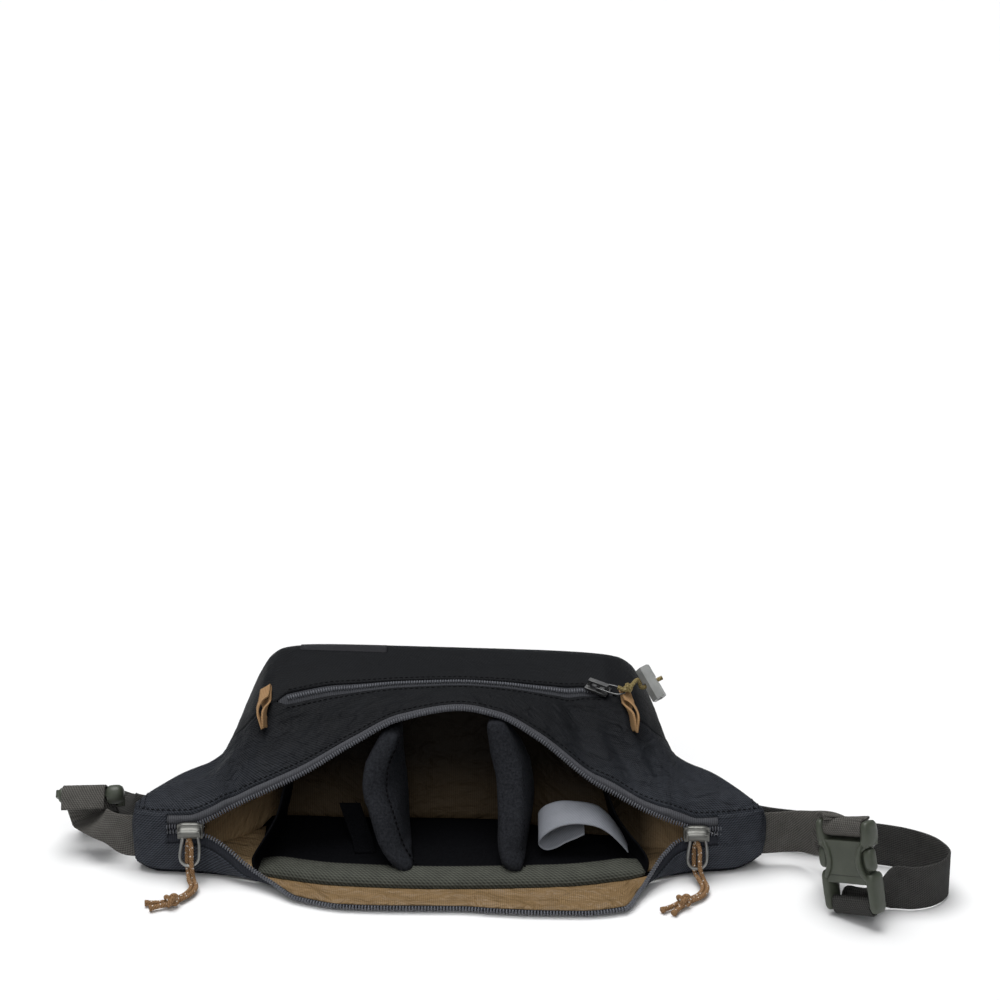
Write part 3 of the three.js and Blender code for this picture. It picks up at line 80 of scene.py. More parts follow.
floor_mesh = bpy.data.meshes.new("floor")
floor_mesh.from_pydata([(-12, -6, 0), (12, -6, 0), (12, 18, 0), (-12, 18, 0)], [], [(0, 1, 2, 3)])
floor = bpy.data.objects.new("floor", floor_mesh)
FLOOR_Z = -0.0004
floor.location.z = FLOOR_Z
scene.collection.objects.link(floor)
floor_paint = bpy.data.materials.new("floor_paint")
floor_paint.use_nodes = True
paint = floor_paint.node_tree.nodes["Principled BSDF"].inputs
paint["Base Color"].default_value = (0.9, 0.9, 0.9, 1)
paint["Roughness"].default_value = 0.9
paint["Specular IOR Level"].default_value = 0
floor_mesh.materials.append(floor_paint)

# Front upper panel: padded black twill nylon from the main zip over the crown to the pocket zip,
# running out over both wings and down their far side. Sewn to both zips and to the back panel.
# Its shape follows the mouth's upper edge, the wings' table and the body's rounded plan, in millimetres.
WING_TIP_LEFT, WING_TIP_RIGHT = -174, 178
BODY_LEFT, BODY_RIGHT = -122.5, 125
JOIN_LEFT, JOIN_RIGHT = -129, 131.5
BODY_ROUNDNESS = 4.8
BODY_SOFTNESS = 6
BODY_FAR_Y, BODY_TOP_Z, BODY_TOP_FALL = 94, 87, 0.03
BODY_CORNER, BODY_CROWN = 38, 2
RISE_SHIFT = 2.5
SEAM_Z = 5
TIP_LIFT, LIFT_FROM, LIFT_OVER = 7, 160, 18
SEAM_GAP, SEAM_CLOSED, GAP_HALF, GAP_FADE = 5, 0.25, 92, 6
ZIP_REVEAL = 8
PANEL_THICK = 1.6
FOLD_SCALE = 1.5

# x, upper coil y and z, lower coil y and z
MOUTH = [
    (-178, -59, 26.5, -59, 26.5),
    (-160, -65.5, 27, -65.5, 27),
    (-143, -66.5, 27.5, -66.5, 27.5),
    (-133, -66.5, 31.2, -66.9, 25),
    (-122, -64.5, 36.5, -72, 20.5),
    (-111, -62.5, 41.5, -79, 14),
    (-96, -60, 47.8, -91, 8),
    (-80, -57, 55, -104, 3),
    (-53, -48, 69, -113, 2.6),
    (-26, -38, 80.5, -114.5, 2.6),
    (8, -33, 85.3, -115, 2.6),
    (30, -35.5, 81.3, -118, 2.6),
    (53, -43, 70, -120, 2.6),
    (75, -52, 54.5, -120.5, 2.6),
    (98, -58.5, 41.3, -116, 3),
    (108, -60.9, 36.8, -98, 6.5),
    (113, -62, 34.8, -88, 10.5),
    (121, -64.3, 31.8, -75.5, 17),
    (131, -66.5, 29, -66.8, 22.4),
    (141, -66.5, 25.7, -66.5, 25.7),
    (157, -64.5, 25.7, -64.5, 25.7),
    (178, -58.5, 25.5, -58.5, 25.5),
]
# distance from the middle, far y, top z, corner radius
WING = [
    (122, -1, 50.5, 16),
    (150, -18, 46.5, 14),
    (165, -33, 41.5, 10),
    (173, -43, 37.5, 7),
    (178, -49, 34.5, 5),
]
# distance from the middle, share of the body's height over the wing's
BODY_RISE = [
    (0, 1), (90, 1), (99, 0.985), (106, 0.9), (112, 0.7), (118, 0.42), (124, 0.19), (131, 0.05), (139, 0),
    (178, 0),
]
# x, y of the pocket zip's line, and of its seam on to the wing roots
POCKET_SEAM = [
    (-129, -8.4), (-112, -12), (-92, -4), (-62, 4), (0, 5.5), (62, 8), (92, 10), (111, -10),
    (131.5, -9.8),
]
# folds: x, y, direction in degrees, half length, half width, depth
FOLDS = [
    (88, -22, -38, 30, 9, 2.2),
    (116, -32, -30, 24, 8, 1.6),
    (146, -38, -20, 18, 7, 1.6),
    (-84, -20, 35, 30, 10, 2.2),
    (-140, -30, 24, 24, 8, 1.6),
    (10, 40, 4, 70, 16, 1.2),
    (76, -22, -78, 26, 6, 2),
    (99, -28, -64, 24, 5.5, 2.4),
    (118, -32, -58, 20, 5, 2),
    (88, -26, -72, 24, 6, -1.4),
    (109, -31, -62, 20, 5, -1.2),
    (131, -40, -48, 18, 6, -1),
    (-108, -30, 58, 18, 4, 1.2),
    (-122, -38, 50, 18, 5, -0.8),
]


def smooth(rows, column):
    xs = [row[0] for row in rows]
    values = [row[column] for row in rows]
    slopes = [(values[k + 1] - values[k]) / (xs[k + 1] - xs[k]) for k in range(len(xs) - 1)]
    tangents = [slopes[0]]
    for before, after in zip(slopes, slopes[1:]):
        tangents.append(0 if before * after <= 0 else 2 * before * after / (before + after))
    tangents.append(slopes[-1])

    def value(x):
        x = min(max(x, xs[0]), xs[-1])
        k = 0
        while k < len(xs) - 2 and x > xs[k + 1]:
            k += 1
        span = xs[k + 1] - xs[k]
        t = (x - xs[k]) / span
        rise = values[k + 1] - values[k]
        bend = (1 - t) * (tangents[k] * span - rise) - t * (tangents[k + 1] * span - rise)
        return values[k] + t * rise + t * (1 - t) * bend

    return value


upper_y, upper_z, lower_y, lower_z = (smooth(MOUTH, column) for column in (1, 2, 3, 4))
wing_far_y, wing_top_z, wing_corner = (smooth(WING, column) for column in (1, 2, 3))
body_rise = smooth(BODY_RISE, 1)
pocket_seam_y = smooth(POCKET_SEAM, 1)


def mix(a, b, t):
    return a + (b - a) * t


def clipped(value):
    return min(max(value, 0), 1)


def run_along(line):
    return np.concatenate([[0], np.cumsum(np.linalg.norm(np.diff(line, axis=0), axis=1))])


def bowed(start, pull, end, count):
    t = np.linspace(0, 1, count)[:, None]
    return (1 - t) ** 2 * start + 2 * t * (1 - t) * pull + t ** 2 * end


def body_share(x):
    reach = -BODY_LEFT if x < 0 else BODY_RIGHT
    total = 0
    for k in range(-4, 5):
        out = min(1, abs(abs(x) + k * BODY_SOFTNESS / 4) / reach)
        total += (5 - abs(k)) / 25 * (1 - out ** BODY_ROUNDNESS) ** (1 / BODY_ROUNDNESS)
    return total


def tip_lift(x):
    return TIP_LIFT * clipped((abs(x) - LIFT_FROM) / LIFT_OVER) ** 2


def far_edge_y(x):
    return mix(wing_far_y(abs(x)), BODY_FAR_Y, body_share(x))


profiles = {}


def front_profile(x):
    if x not in profiles:
        share = body_share(x)
        far = far_edge_y(x)
        rise = body_rise(abs(x) - (RISE_SHIFT if x > 0 else 0))
        top = mix(wing_top_z(abs(x)), BODY_TOP_Z - BODY_TOP_FALL * x, rise)
        corner = mix(wing_corner(abs(x)), BODY_CORNER, share)
        crest = far - corner
        start = np.array([upper_y(x), upper_z(x)])
        pull = np.array([mix(start[0], crest, mix(0.03, 0.5, share)), top + BODY_CROWN * share])
        end = np.array([crest, top])
        curve = bowed(start, pull, end, 60)
        angle = np.linspace(0, math.pi / 2, 30)[1:]
        arc = np.stack([crest + corner * np.sin(angle), top - corner + corner * np.cos(angle)], 1)
        path = np.vstack([curve, arc, [[far, SEAM_Z + tip_lift(x)]]])
        profiles[x] = path[:, 0], path[:, 1], run_along(path)
    return profiles[x]


def fold_depth(x, y):
    depth = np.zeros_like(y)
    for fold_x, fold_y, angle, length, width, deep in FOLDS:
        turn = math.radians(angle)
        along = (x - fold_x) * math.cos(turn) + (y - fold_y) * math.sin(turn)
        across = (y - fold_y) * math.cos(turn) - (x - fold_x) * math.sin(turn)
        depth += FOLD_SCALE * deep * np.exp(-(along / length) ** 2 - (across / width) ** 2)
    return depth


def front_row(x, s):
    ys, zs, distance = front_profile(x)
    s = np.asarray(s, float)
    y = np.interp(s, distance, ys)
    z = np.interp(s, distance, zs) - fold_depth(x, y)
    return np.stack([np.full_like(y, x), y, z], 1)


def front_length(x):
    return front_profile(x)[2][-1]


def front_distance_at(x, y):
    ys, _, distance = front_profile(x)
    return float(np.interp(y, ys, distance))


def seam_distance(x):
    if JOIN_LEFT <= x <= JOIN_RIGHT:
        return front_distance_at(x, pocket_seam_y(x))
    return front_distance_at(x, wing_far_y(abs(x)) - wing_corner(abs(x)) / 4)


def seam_open(x):
    return mix(SEAM_GAP, SEAM_CLOSED, clipped((abs(x) - GAP_HALF) / GAP_FADE))


def meshed(name, points, faces, material, uv=None):
    mesh = bpy.data.meshes.new(name)
    mesh.from_pydata((np.asarray(points, float).reshape(-1, 3) / 1000).tolist(), [], faces)
    if uv is not None:
        mesh.uv_layers.new(name="cut").data.foreach_set("uv", np.array(uv, float).ravel())
    mesh.polygons.foreach_set("use_smooth", [True] * len(mesh.polygons))
    mesh.materials.append(material)
    piece = bpy.data.objects.new(name, mesh)
    scene.collection.objects.link(piece)
    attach(piece, "root")
    return piece


def grid_piece(name, grid, material, thick, keep=None, turned=False):
    rows, columns = grid.shape[:2]
    u = np.concatenate([[0], np.cumsum(np.linalg.norm(np.diff(grid, axis=0), axis=2).mean(axis=1))])
    v = np.zeros((rows, columns))
    v[:, 1:] = np.cumsum(np.linalg.norm(np.diff(grid, axis=1), axis=2), axis=1)
    faces = []
    for i in range(rows - 1):
        for j in range(columns - 1):
            if keep is None or keep(i, j):
                face = [(i, j), (i + 1, j), (i + 1, j + 1), (i, j + 1)]
                faces.append(face[::-1] if turned else face)
    used = sorted({corner for face in faces for corner in face})
    number = {corner: k for k, corner in enumerate(used)}
    numbered = [[number[c] for c in face] for face in faces]
    uv = [(u[i], v[i, j]) for face in faces for i, j in face]
    piece = meshed(name, [grid[c] for c in used], numbered, material, uv)
    wall = piece.modifiers.new("wall", "SOLIDIFY")
    wall.thickness = thick / 1000
    wall.offset = -1
    return piece


def new_group(name, inputs, outputs):
    group = bpy.data.node_groups.new(name, "ShaderNodeTree")
    for label, kind, default in inputs:
        socket = group.interface.new_socket(label, in_out="INPUT", socket_type=kind)
        if default is not None:
            socket.default_value = default
    for label, kind in outputs:
        group.interface.new_socket(label, in_out="OUTPUT", socket_type=kind)
    return group, group.nodes.new("NodeGroupInput"), group.nodes.new("NodeGroupOutput")


def added(tree, kind, values=None, **settings):
    node = tree.nodes.new(kind)
    for name, setting in settings.items():
        setattr(node, name, setting)
    for label, value in (values or {}).items():
        node.inputs[label].default_value = value
    return node


def math_node(tree, operation, a, b=None):
    node = added(tree, "ShaderNodeMath", operation=operation)
    for k, value in enumerate((a, b)):
        if isinstance(value, (int, float)):
            node.inputs[k].default_value = value
        elif value is not None:
            tree.links.new(value, node.inputs[k])
    return node.outputs[0]


def ramp(tree, value, first, last, low, high):
    bounds = {"From Min": first, "From Max": last, "To Min": low, "To Max": high}
    node = added(tree, "ShaderNodeMapRange", bounds, interpolation_type="SMOOTHSTEP")
    tree.links.new(value, node.inputs["Value"])
    return node.outputs["Result"]


# The woven group gives the rise of the threads and a soft mottle over any cloth.
woven, woven_in, woven_out = new_group(
    "woven",
    [
        ("Place", "NodeSocketVector", None),
        ("Threads", "NodeSocketFloat", 1.0),
        ("Slant", "NodeSocketFloat", 1.0),
    ],
    [("Rise", "NodeSocketFloat"), ("Mottle", "NodeSocketFloat")],
)
split = woven.nodes.new("ShaderNodeSeparateXYZ")
woven.links.new(woven_in.outputs["Place"], split.inputs[0])
turns = math_node(woven, "MULTIPLY", woven_in.outputs["Threads"], 2 * math.pi)
leaning = math_node(woven, "MULTIPLY", split.outputs["Y"], woven_in.outputs["Slant"])
diagonal = math_node(woven, "MULTIPLY", math_node(woven, "ADD", split.outputs["X"], leaning), turns)
crossing = math_node(woven, "MULTIPLY", split.outputs["Y"], math_node(woven, "MULTIPLY", turns, 1.35))
ridge = math_node(woven, "SINE", diagonal)
pick = math_node(woven, "SINE", crossing)
ridge_share, pick_share = math_node(woven, "MULTIPLY", ridge, 0.32), math_node(woven, "MULTIPLY", pick, 0.18)
both = math_node(woven, "ADD", ridge_share, pick_share)
woven.links.new(math_node(woven, "ADD", both, 0.5), woven_out.inputs["Rise"])
cloud = added(woven, "ShaderNodeTexNoise", {"Scale": 0.11, "Detail": 6, "Roughness": 0.65})
woven.links.new(woven_in.outputs["Place"], cloud.inputs["Vector"])
woven.links.new(cloud.outputs["Fac"], woven_out.inputs["Mottle"])


def surface_of(name, group, dark, light, rough, spread, bump, shine):
    material = bpy.data.materials.new(name)
    material.use_nodes = True
    tree = material.node_tree
    shader = tree.nodes["Principled BSDF"].inputs
    pattern = added(tree, "ShaderNodeGroup", node_tree=group)
    tint = added(tree, "ShaderNodeMix", {"A": (*dark, 1), "B": (*light, 1)}, data_type="RGBA")
    gloss = added(tree, "ShaderNodeMapRange", {"To Min": rough - spread, "To Max": min(1, rough + spread)})
    relief = added(tree, "ShaderNodeBump", {"Distance": bump / 1000})
    shader["Specular IOR Level"].default_value = shine
    tree.links.new(tint.outputs["Result"], shader["Base Color"])
    tree.links.new(gloss.outputs["Result"], shader["Roughness"])
    tree.links.new(relief.outputs["Normal"], shader["Normal"])
    return material, pattern, tint, gloss, relief


def first_node(tree, kind):
    return next(n for n in tree.nodes if n.type == kind)


def object_axes(tree):
    axes = tree.nodes.new("ShaderNodeSeparateXYZ")
    tree.links.new(first_node(tree, "TEX_COORD").outputs["Object"], axes.inputs[0])
    return axes.outputs


def over_base(tree, node, entry, result):
    base = tree.nodes["Principled BSDF"].inputs["Base Color"]
    tree.links.new(base.links[0].from_socket, node.inputs[entry])
    tree.links.new(node.outputs[result], base)


# threads are per millimetre, bump and crumple heights in millimetres; slant 0 makes a plain weave, 1 a twill
def cloth(name, dark, light, threads, slant, bump, rough, shine=0.1, crumple=0.0, on_object=False):
    material, weave, tint, gloss, relief = surface_of(name, woven, dark, light, rough, 0.1, bump, shine)
    tree = material.node_tree
    weave.inputs["Threads"].default_value = threads
    weave.inputs["Slant"].default_value = slant
    coordinates = tree.nodes.new("ShaderNodeTexCoord")
    place = coordinates.outputs["UV"]
    if on_object:
        millimetres = added(tree, "ShaderNodeMapping", {"Scale": (1000, 1000, 1000)})
        tree.links.new(coordinates.outputs["Object"], millimetres.inputs["Vector"])
        place = millimetres.outputs["Vector"]
    tree.links.new(place, weave.inputs["Place"])
    blend = math_node(tree, "MULTIPLY", weave.outputs["Rise"], 0.9)
    blend = math_node(tree, "ADD", blend, math_node(tree, "MULTIPLY", weave.outputs["Mottle"], 0.7))
    tree.links.new(math_node(tree, "SUBTRACT", blend, 0.3), tint.inputs["Factor"])
    tree.links.new(weave.outputs["Mottle"], gloss.inputs["Value"])
    relief.inputs["Strength"].default_value = 0.8
    height = weave.outputs["Rise"]
    if crumple:
        crease = added(tree, "ShaderNodeTexNoise", {"Scale": 0.06, "Detail": 3, "Distortion": 1.6})
        stretch = added(tree, "ShaderNodeMapping", {"Rotation": (0, 0, 0.5), "Scale": (1, 1.9, 1)})
        tree.links.new(place, stretch.inputs["Vector"])
        tree.links.new(stretch.outputs["Vector"], crease.inputs["Vector"])
        creased = math_node(tree, "MULTIPLY", crease.outputs["Fac"], crumple / bump)
        height = math_node(tree, "ADD", height, creased)
    tree.links.new(height, relief.inputs["Height"])
    return material


nylon = cloth(
    "black_twill", (0.0050, 0.0058, 0.0076), (0.0460, 0.0510, 0.0625), 0.55, 1.0, 0.3, 0.6, crumple=4
)
# lighter low down on the wings and black towards the pocket, as the photograph is lit
nylon_tree = nylon.node_tree
nylon_shade = nylon_tree.nodes.new("ShaderNodeHueSaturation")
by_rise = ramp(nylon_tree, object_axes(nylon_tree)["Z"], 0.012, 0.078, 1.38, 0.22)
nylon_tree.links.new(by_rise, nylon_shade.inputs["Value"])
over_base(nylon_tree, nylon_shade, "Color", "Color")

wing_stations = np.linspace(0, 1, 20)
panel_x = np.unique(np.concatenate([
    mix(WING_TIP_LEFT, JOIN_LEFT, wing_stations),
    np.linspace(JOIN_LEFT, -98, 36),
    np.linspace(-98, 98, 72),
    np.linspace(98, JOIN_RIGHT, 36),
    mix(JOIN_RIGHT, WING_TIP_RIGHT, wing_stations),
]).round(4))
UPPER_COLUMNS, WING_COLUMNS = 30, 12


def upper_distances(x):
    seam = seam_distance(x) - (seam_open(x) if JOIN_LEFT < x < JOIN_RIGHT else 0)
    on_front = np.linspace(ZIP_REVEAL + 0.3, seam, UPPER_COLUMNS)
    return np.concatenate([on_front, np.linspace(seam, front_length(x), WING_COLUMNS + 1)[1:]])


def on_upper(i, j):
    on_wing = panel_x[i + 1] <= JOIN_LEFT or panel_x[i] >= JOIN_RIGHT
    return j < UPPER_COLUMNS - 1 or on_wing


upper_grid = np.array([front_row(x, upper_distances(x)) for x in panel_x])
front_upper = grid_piece("front_upper", upper_grid, nylon, PANEL_THICK, keep=on_upper)
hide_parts("front_upper_panel")

# Pocket panel: the front pocket's shell of padded twill, from the pocket zip over the crown
# and down the far side to the back panel. Its colour is set blacker than the front's as painted shade on the
# top.
# Its ends close against the wings' far walls.
body_x = panel_x[(panel_x >= JOIN_LEFT) & (panel_x <= JOIN_RIGHT)]
pocket_grid = np.array([
    front_row(x, np.linspace(seam_distance(x) + seam_open(x), front_length(x), 46)) for x in body_x
])
# painted shade: this twill's colour is set blacker than the front panel's so that the crown reads dark
pocket_nylon_painted_shade = cloth(
    "pocket_twill_painted_shade", (0.0010, 0.0012, 0.0015), (0.0100, 0.0110, 0.0134), 0.55, 1.0, 0.25, 0.62, crumple=1
)
pocket = grid_piece("pocket_shell", pocket_grid, pocket_nylon_painted_shade, PANEL_THICK)
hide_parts("pocket_panel")

# Back panel: the flat padded panel that the pouch lies on, black nylon with a rounded sewn edge.
# Sewn all round to the other panels.
# x, y of the near edge
BACK_EDGE = [
    (-178, -57.5), (-160, -63), (-143, -65), (-122, -69.5), (-96, -78), (-58, -88), (0, -92), (63, -89.5),
    (100, -81), (122, -71.5), (141, -65), (157, -62.5), (178, -56),
]
back_near_y = smooth(BACK_EDGE, 1)
# share across from the near edge, low z, high z
BACK_SECTION = [
    (0, 2, 2.6), (0.006, 0.8, 3.6), (0.018, 0.15, 4.3), (0.05, 0, 4.6), (0.5, 0, 4.6), (0.95, 0, 4.6),
    (0.982, 0.15, 4.3), (0.994, 0.8, 3.6), (1, 2, 2.6),
]


def back_row(x, level):
    near, far = back_near_y(x), far_edge_y(x) - 0.6
    return [(x, mix(near, far, row[0]), row[level] + tip_lift(x)) for row in BACK_SECTION]


def closed_piece(name, outer, inner, material):
    rows, columns = outer.shape[:2]
    loops = np.concatenate([outer, inner[:, ::-1]], axis=1)
    count = loops.shape[1]
    faces = []
    for i in range(rows - 1):
        for j in range(count):
            after = (j + 1) % count
            faces.append((i * count + j, (i + 1) * count + j, (i + 1) * count + after, i * count + after))
    faces.append(tuple(range(count)))
    faces.append(tuple((rows - 1) * count + k for k in reversed(range(count))))
    return meshed(name, loops, faces, material)


back_cloth = cloth(
    "back_mesh", (0.005, 0.0055, 0.007), (0.018, 0.020, 0.025), 0.5, 0.0, 0.4, 0.85, on_object=True
)
back_high = np.array([back_row(x, 2) for x in panel_x])
back_low = np.array([back_row(x, 1) for x in panel_x])
back = closed_piece("back_pad", back_high, back_low, back_cloth)
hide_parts("back_panel")

# Flap below the main zip: a black nylon strip sewn to the lower zip and to the back panel's near edge.
# It stands up at the sliders and flops out on to the floor in the middle, lined with brown cloth.
FLAP_THICK = 1.2
FLAP_COLUMNS = 14
LINING_THICK = 1
LINING_COLUMNS = 20
LINING_LEFT, LINING_RIGHT = -129, 127
CURL_DEEP, CURL_AT, CURL_WIDE = 5, 113, 13
flaps = {}


def flap_profile(x):
    if x not in flaps:
        start = np.array([lower_y(x), lower_z(x)])
        end = np.array([back_near_y(x) - 1.5, 3 + tip_lift(x)])
        bulge = CURL_DEEP * math.exp(-((abs(x) - CURL_AT) / CURL_WIDE) ** 2)
        pull = np.array([(start[0] + end[0]) / 2 - bulge, max(2.6, (start[1] + end[1]) / 2 - 3)])
        path = bowed(start, pull, end, 40)
        flaps[x] = path[:, 0], path[:, 1], run_along(path)
    return flaps[x]


def flap_row(x, s):
    ys, zs, distance = flap_profile(x)
    s = np.asarray(s, float)
    return np.stack([np.full_like(s, x), np.interp(s, distance, ys), np.interp(s, distance, zs)], 1)


def flap_length(x):
    return flap_profile(x)[2][-1]


def flap_grid(stations, start, columns):
    return np.array([
        flap_row(x, np.linspace(min(start, flap_length(x) - 2), flap_length(x), columns)) for x in stations
    ])


def normals_of(grid):
    normal = np.cross(np.gradient(grid, axis=0), np.gradient(grid, axis=1))
    return normal / np.maximum(np.linalg.norm(normal, axis=2, keepdims=True), 1e-9)


def raised(grid, away):
    return grid + normals_of(grid) * np.asarray(away, float).reshape(1, -1, 1)


flap_skin = flap_grid(panel_x, ZIP_REVEAL + 0.3, FLAP_COLUMNS)
flap_under = raised(flap_skin, np.full(FLAP_COLUMNS, -FLAP_THICK))
flap_outer = grid_piece("flap_outer", flap_under, nylon, FLAP_THICK, turned=True)
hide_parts("zip_flap")

lining_brown = cloth(
    "brown_lining", (0.118, 0.073, 0.031), (0.275, 0.178, 0.086), 0.9, 0.0, 0.05, 0.45, shine=0.2, crumple=5
)
lining_x = panel_x[(panel_x > LINING_LEFT) & (panel_x < LINING_RIGHT)]
lining_grid = raised(flap_grid(lining_x, 2.8, LINING_COLUMNS), np.full(LINING_COLUMNS, 1.3))
share = np.linspace(0, 1, LINING_COLUMNS)
edge = np.sin(np.pi * share) ** 0.6
seam_gather = np.exp(-((share - 0.14) / 0.08) ** 2)
for i, x in enumerate(lining_x):
    pucker = [noise.noise(Vector((x * 0.11, k * 2.1, 3.7))) for k in share]
    crease = [noise.noise(Vector((x * 0.035 + k * 1.5, k * 0.8, 9.1))) for k in share]
    lining_grid[i, :, 2] += edge * np.clip(np.array(pucker) * 1.8 + np.array(crease) * 2.2 + 0.3, 0, 3.4)
    gather = 0.7 + 0.9 * noise.noise(Vector((x * 0.16, 0.4, 6.3)))
    lining_grid[i, :, 2] += gather * seam_gather
flap_inner = grid_piece("flap_lining_cloth", lining_grid, lining_brown, LINING_THICK)
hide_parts("flap_lining")

# Main zip: two halves, each a grey woven tape rolled like piping with a nylon coil along its free edge.
# Sewn to the front panel above and to the flap below; the coils and the topstitching are rows of beads.
MAIN_ZIP_LEFT, MAIN_ZIP_RIGHT = -157, 154
# distance from the coil, rise above the panel
TAPE_ROLL = [
    (2.4, -0.9), (3.4, -0.6), (4.2, 0.1), (5, 0.6), (5.8, 0.7), (6.6, 0.5), (7.6, 0.1), (9.2, -0.7),
]


def zip_rows(row, length, stations):
    grid = []
    for x in stations:
        reach = min(1, length(x) / 10)
        grid.append(row(x, [reach * s for s, _ in TAPE_ROLL]))
    return np.array(grid)


zip_grey = cloth("zip_tape", (0.036, 0.037, 0.042), (0.094, 0.096, 0.106), 0.9, 0.0, 0.2, 0.7)
zip_x = panel_x[(panel_x >= MAIN_ZIP_LEFT) & (panel_x <= MAIN_ZIP_RIGHT)]
rolls = [rise for _, rise in TAPE_ROLL]
upper_tape_grid = raised(zip_rows(front_row, front_length, zip_x), rolls)
upper_tape = grid_piece("zip_tape_upper", upper_tape_grid, zip_grey, 1)
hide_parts("main_zip_upper")
lower_tape_grid = raised(zip_rows(flap_row, flap_length, zip_x), [-0.5 - 0.6 * rise for rise in rolls])
zip_navy = cloth("zip_tape_navy", (0.010, 0.011, 0.015), (0.034, 0.037, 0.046), 0.9, 0.0, 0.2, 0.7)
lower_tape = grid_piece("zip_tape_lower", lower_tape_grid, zip_navy, 1, turned=True)
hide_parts("main_zip_lower")

row_tree = bpy.data.node_groups.new("sewn_row", "GeometryNodeTree")
row_tree.interface.new_socket("Geometry", in_out="INPUT", socket_type="NodeSocketGeometry")
for label, default in (("Pitch", 0.0015), ("Along", 0.001), ("Across", 0.001), ("Raise", 0.001)):
    socket = row_tree.interface.new_socket(label, in_out="INPUT", socket_type="NodeSocketFloat")
    socket.default_value = default
row_tree.interface.new_socket("Thread", in_out="INPUT", socket_type="NodeSocketMaterial")
row_tree.interface.new_socket("Geometry", in_out="OUTPUT", socket_type="NodeSocketGeometry")
row_in = added(row_tree, "NodeGroupInput")
row_out = added(row_tree, "NodeGroupOutput")
to_curve = added(row_tree, "GeometryNodeMeshToCurve")
resample = added(row_tree, "GeometryNodeResampleCurve", mode="LENGTH")
facing_in = added(row_tree, "GeometryNodeInputNamedAttribute", {"Name": "facing"}, data_type="FLOAT_VECTOR")
tangent_in = added(row_tree, "GeometryNodeInputTangent")
bead = added(row_tree, "GeometryNodeMeshUVSphere", {"Segments": 8, "Rings": 5, "Radius": 0.5})
along_row = added(row_tree, "FunctionNodeAlignRotationToVector", axis="X")
face_out = added(row_tree, "FunctionNodeAlignRotationToVector", axis="Z", pivot_axis="X")
bead_size = added(row_tree, "ShaderNodeCombineXYZ")
beads = added(row_tree, "GeometryNodeInstanceOnPoints")
realize = added(row_tree, "GeometryNodeRealizeInstances")
rounded = added(row_tree, "GeometryNodeSetShadeSmooth")
threaded = added(row_tree, "GeometryNodeSetMaterial")
for start, end in (
    (row_in.outputs["Geometry"], to_curve.inputs[0]),
    (to_curve.outputs[0], resample.inputs["Curve"]),
    (row_in.outputs["Pitch"], resample.inputs["Length"]),
    (resample.outputs[0], beads.inputs["Points"]),
    (bead.outputs["Mesh"], beads.inputs["Instance"]),
    (tangent_in.outputs[0], along_row.inputs["Vector"]),
    (along_row.outputs[0], face_out.inputs["Rotation"]),
    (facing_in.outputs["Attribute"], face_out.inputs["Vector"]),
    (face_out.outputs[0], beads.inputs["Rotation"]),
    (row_in.outputs["Along"], bead_size.inputs["X"]),
    (row_in.outputs["Across"], bead_size.inputs["Y"]),
    (row_in.outputs["Raise"], bead_size.inputs["Z"]),
    (bead_size.outputs[0], beads.inputs["Scale"]),
    (beads.outputs[0], realize.inputs[0]),
    (realize.outputs[0], rounded.inputs["Geometry"]),
    (rounded.outputs[0], threaded.inputs["Geometry"]),
    (row_in.outputs["Thread"], threaded.inputs["Material"]),
    (threaded.outputs[0], row_out.inputs["Geometry"]),
):
    row_tree.links.new(start, end)
row_socket = {item.name: item.identifier for item in row_tree.interface.items_tree if item.in_out == "INPUT"}


def sewn_row(name, lines, pitch, size, material):
    points, edges, facings = [], [], []
    for line, facing in lines:
        edges += [(len(points) + k, len(points) + k + 1) for k in range(len(line) - 1)]
        points += [tuple(p / 1000) for p in line]
        facings += [tuple(f) for f in facing]
    mesh = bpy.data.meshes.new(name)
    mesh.from_pydata(points, edges, [])
    faced = mesh.attributes.new("facing", "FLOAT_VECTOR", "POINT")
    faced.data.foreach_set("vector", np.array(facings, float).ravel())
    piece = bpy.data.objects.new(name, mesh)
    scene.collection.objects.link(piece)
    modifier = piece.modifiers.new("row", "NODES")
    modifier.node_group = row_tree
    for label, millimetres in zip(("Pitch", "Along", "Across", "Raise"), (pitch, *size)):
        modifier[row_socket[label]] = millimetres / 1000
    modifier[row_socket["Thread"]] = material
    made = bpy.data.meshes.new_from_object(piece.evaluated_get(bpy.context.evaluated_depsgraph_get()))
    piece.modifiers.clear()
    piece.data = made
    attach(piece, "root")


def line_on(row, stations, distance, away):
    grid = np.array([row(x, distance(x) + np.array([-0.5, 0, 0.5])) for x in stations])
    normal = normals_of(grid)[:, 1]
    return grid[:, 1] + normal * away, normal


moulded, moulded_in, moulded_out = new_group(
    "moulded",
    [("Place", "NodeSocketVector", None), ("Grain", "NodeSocketFloat", 900.0)],
    [("Grain", "NodeSocketFloat"), ("Wear", "NodeSocketFloat")],
)
fine = added(moulded, "ShaderNodeTexNoise", {"Detail": 4})
moulded.links.new(moulded_in.outputs["Place"], fine.inputs["Vector"])
moulded.links.new(moulded_in.outputs["Grain"], fine.inputs["Scale"])
moulded.links.new(fine.outputs["Fac"], moulded_out.inputs["Grain"])
broad = added(moulded, "ShaderNodeTexNoise", {"Scale": 120, "Detail": 5})
moulded.links.new(moulded_in.outputs["Place"], broad.inputs["Vector"])
moulded.links.new(broad.outputs["Fac"], moulded_out.inputs["Wear"])


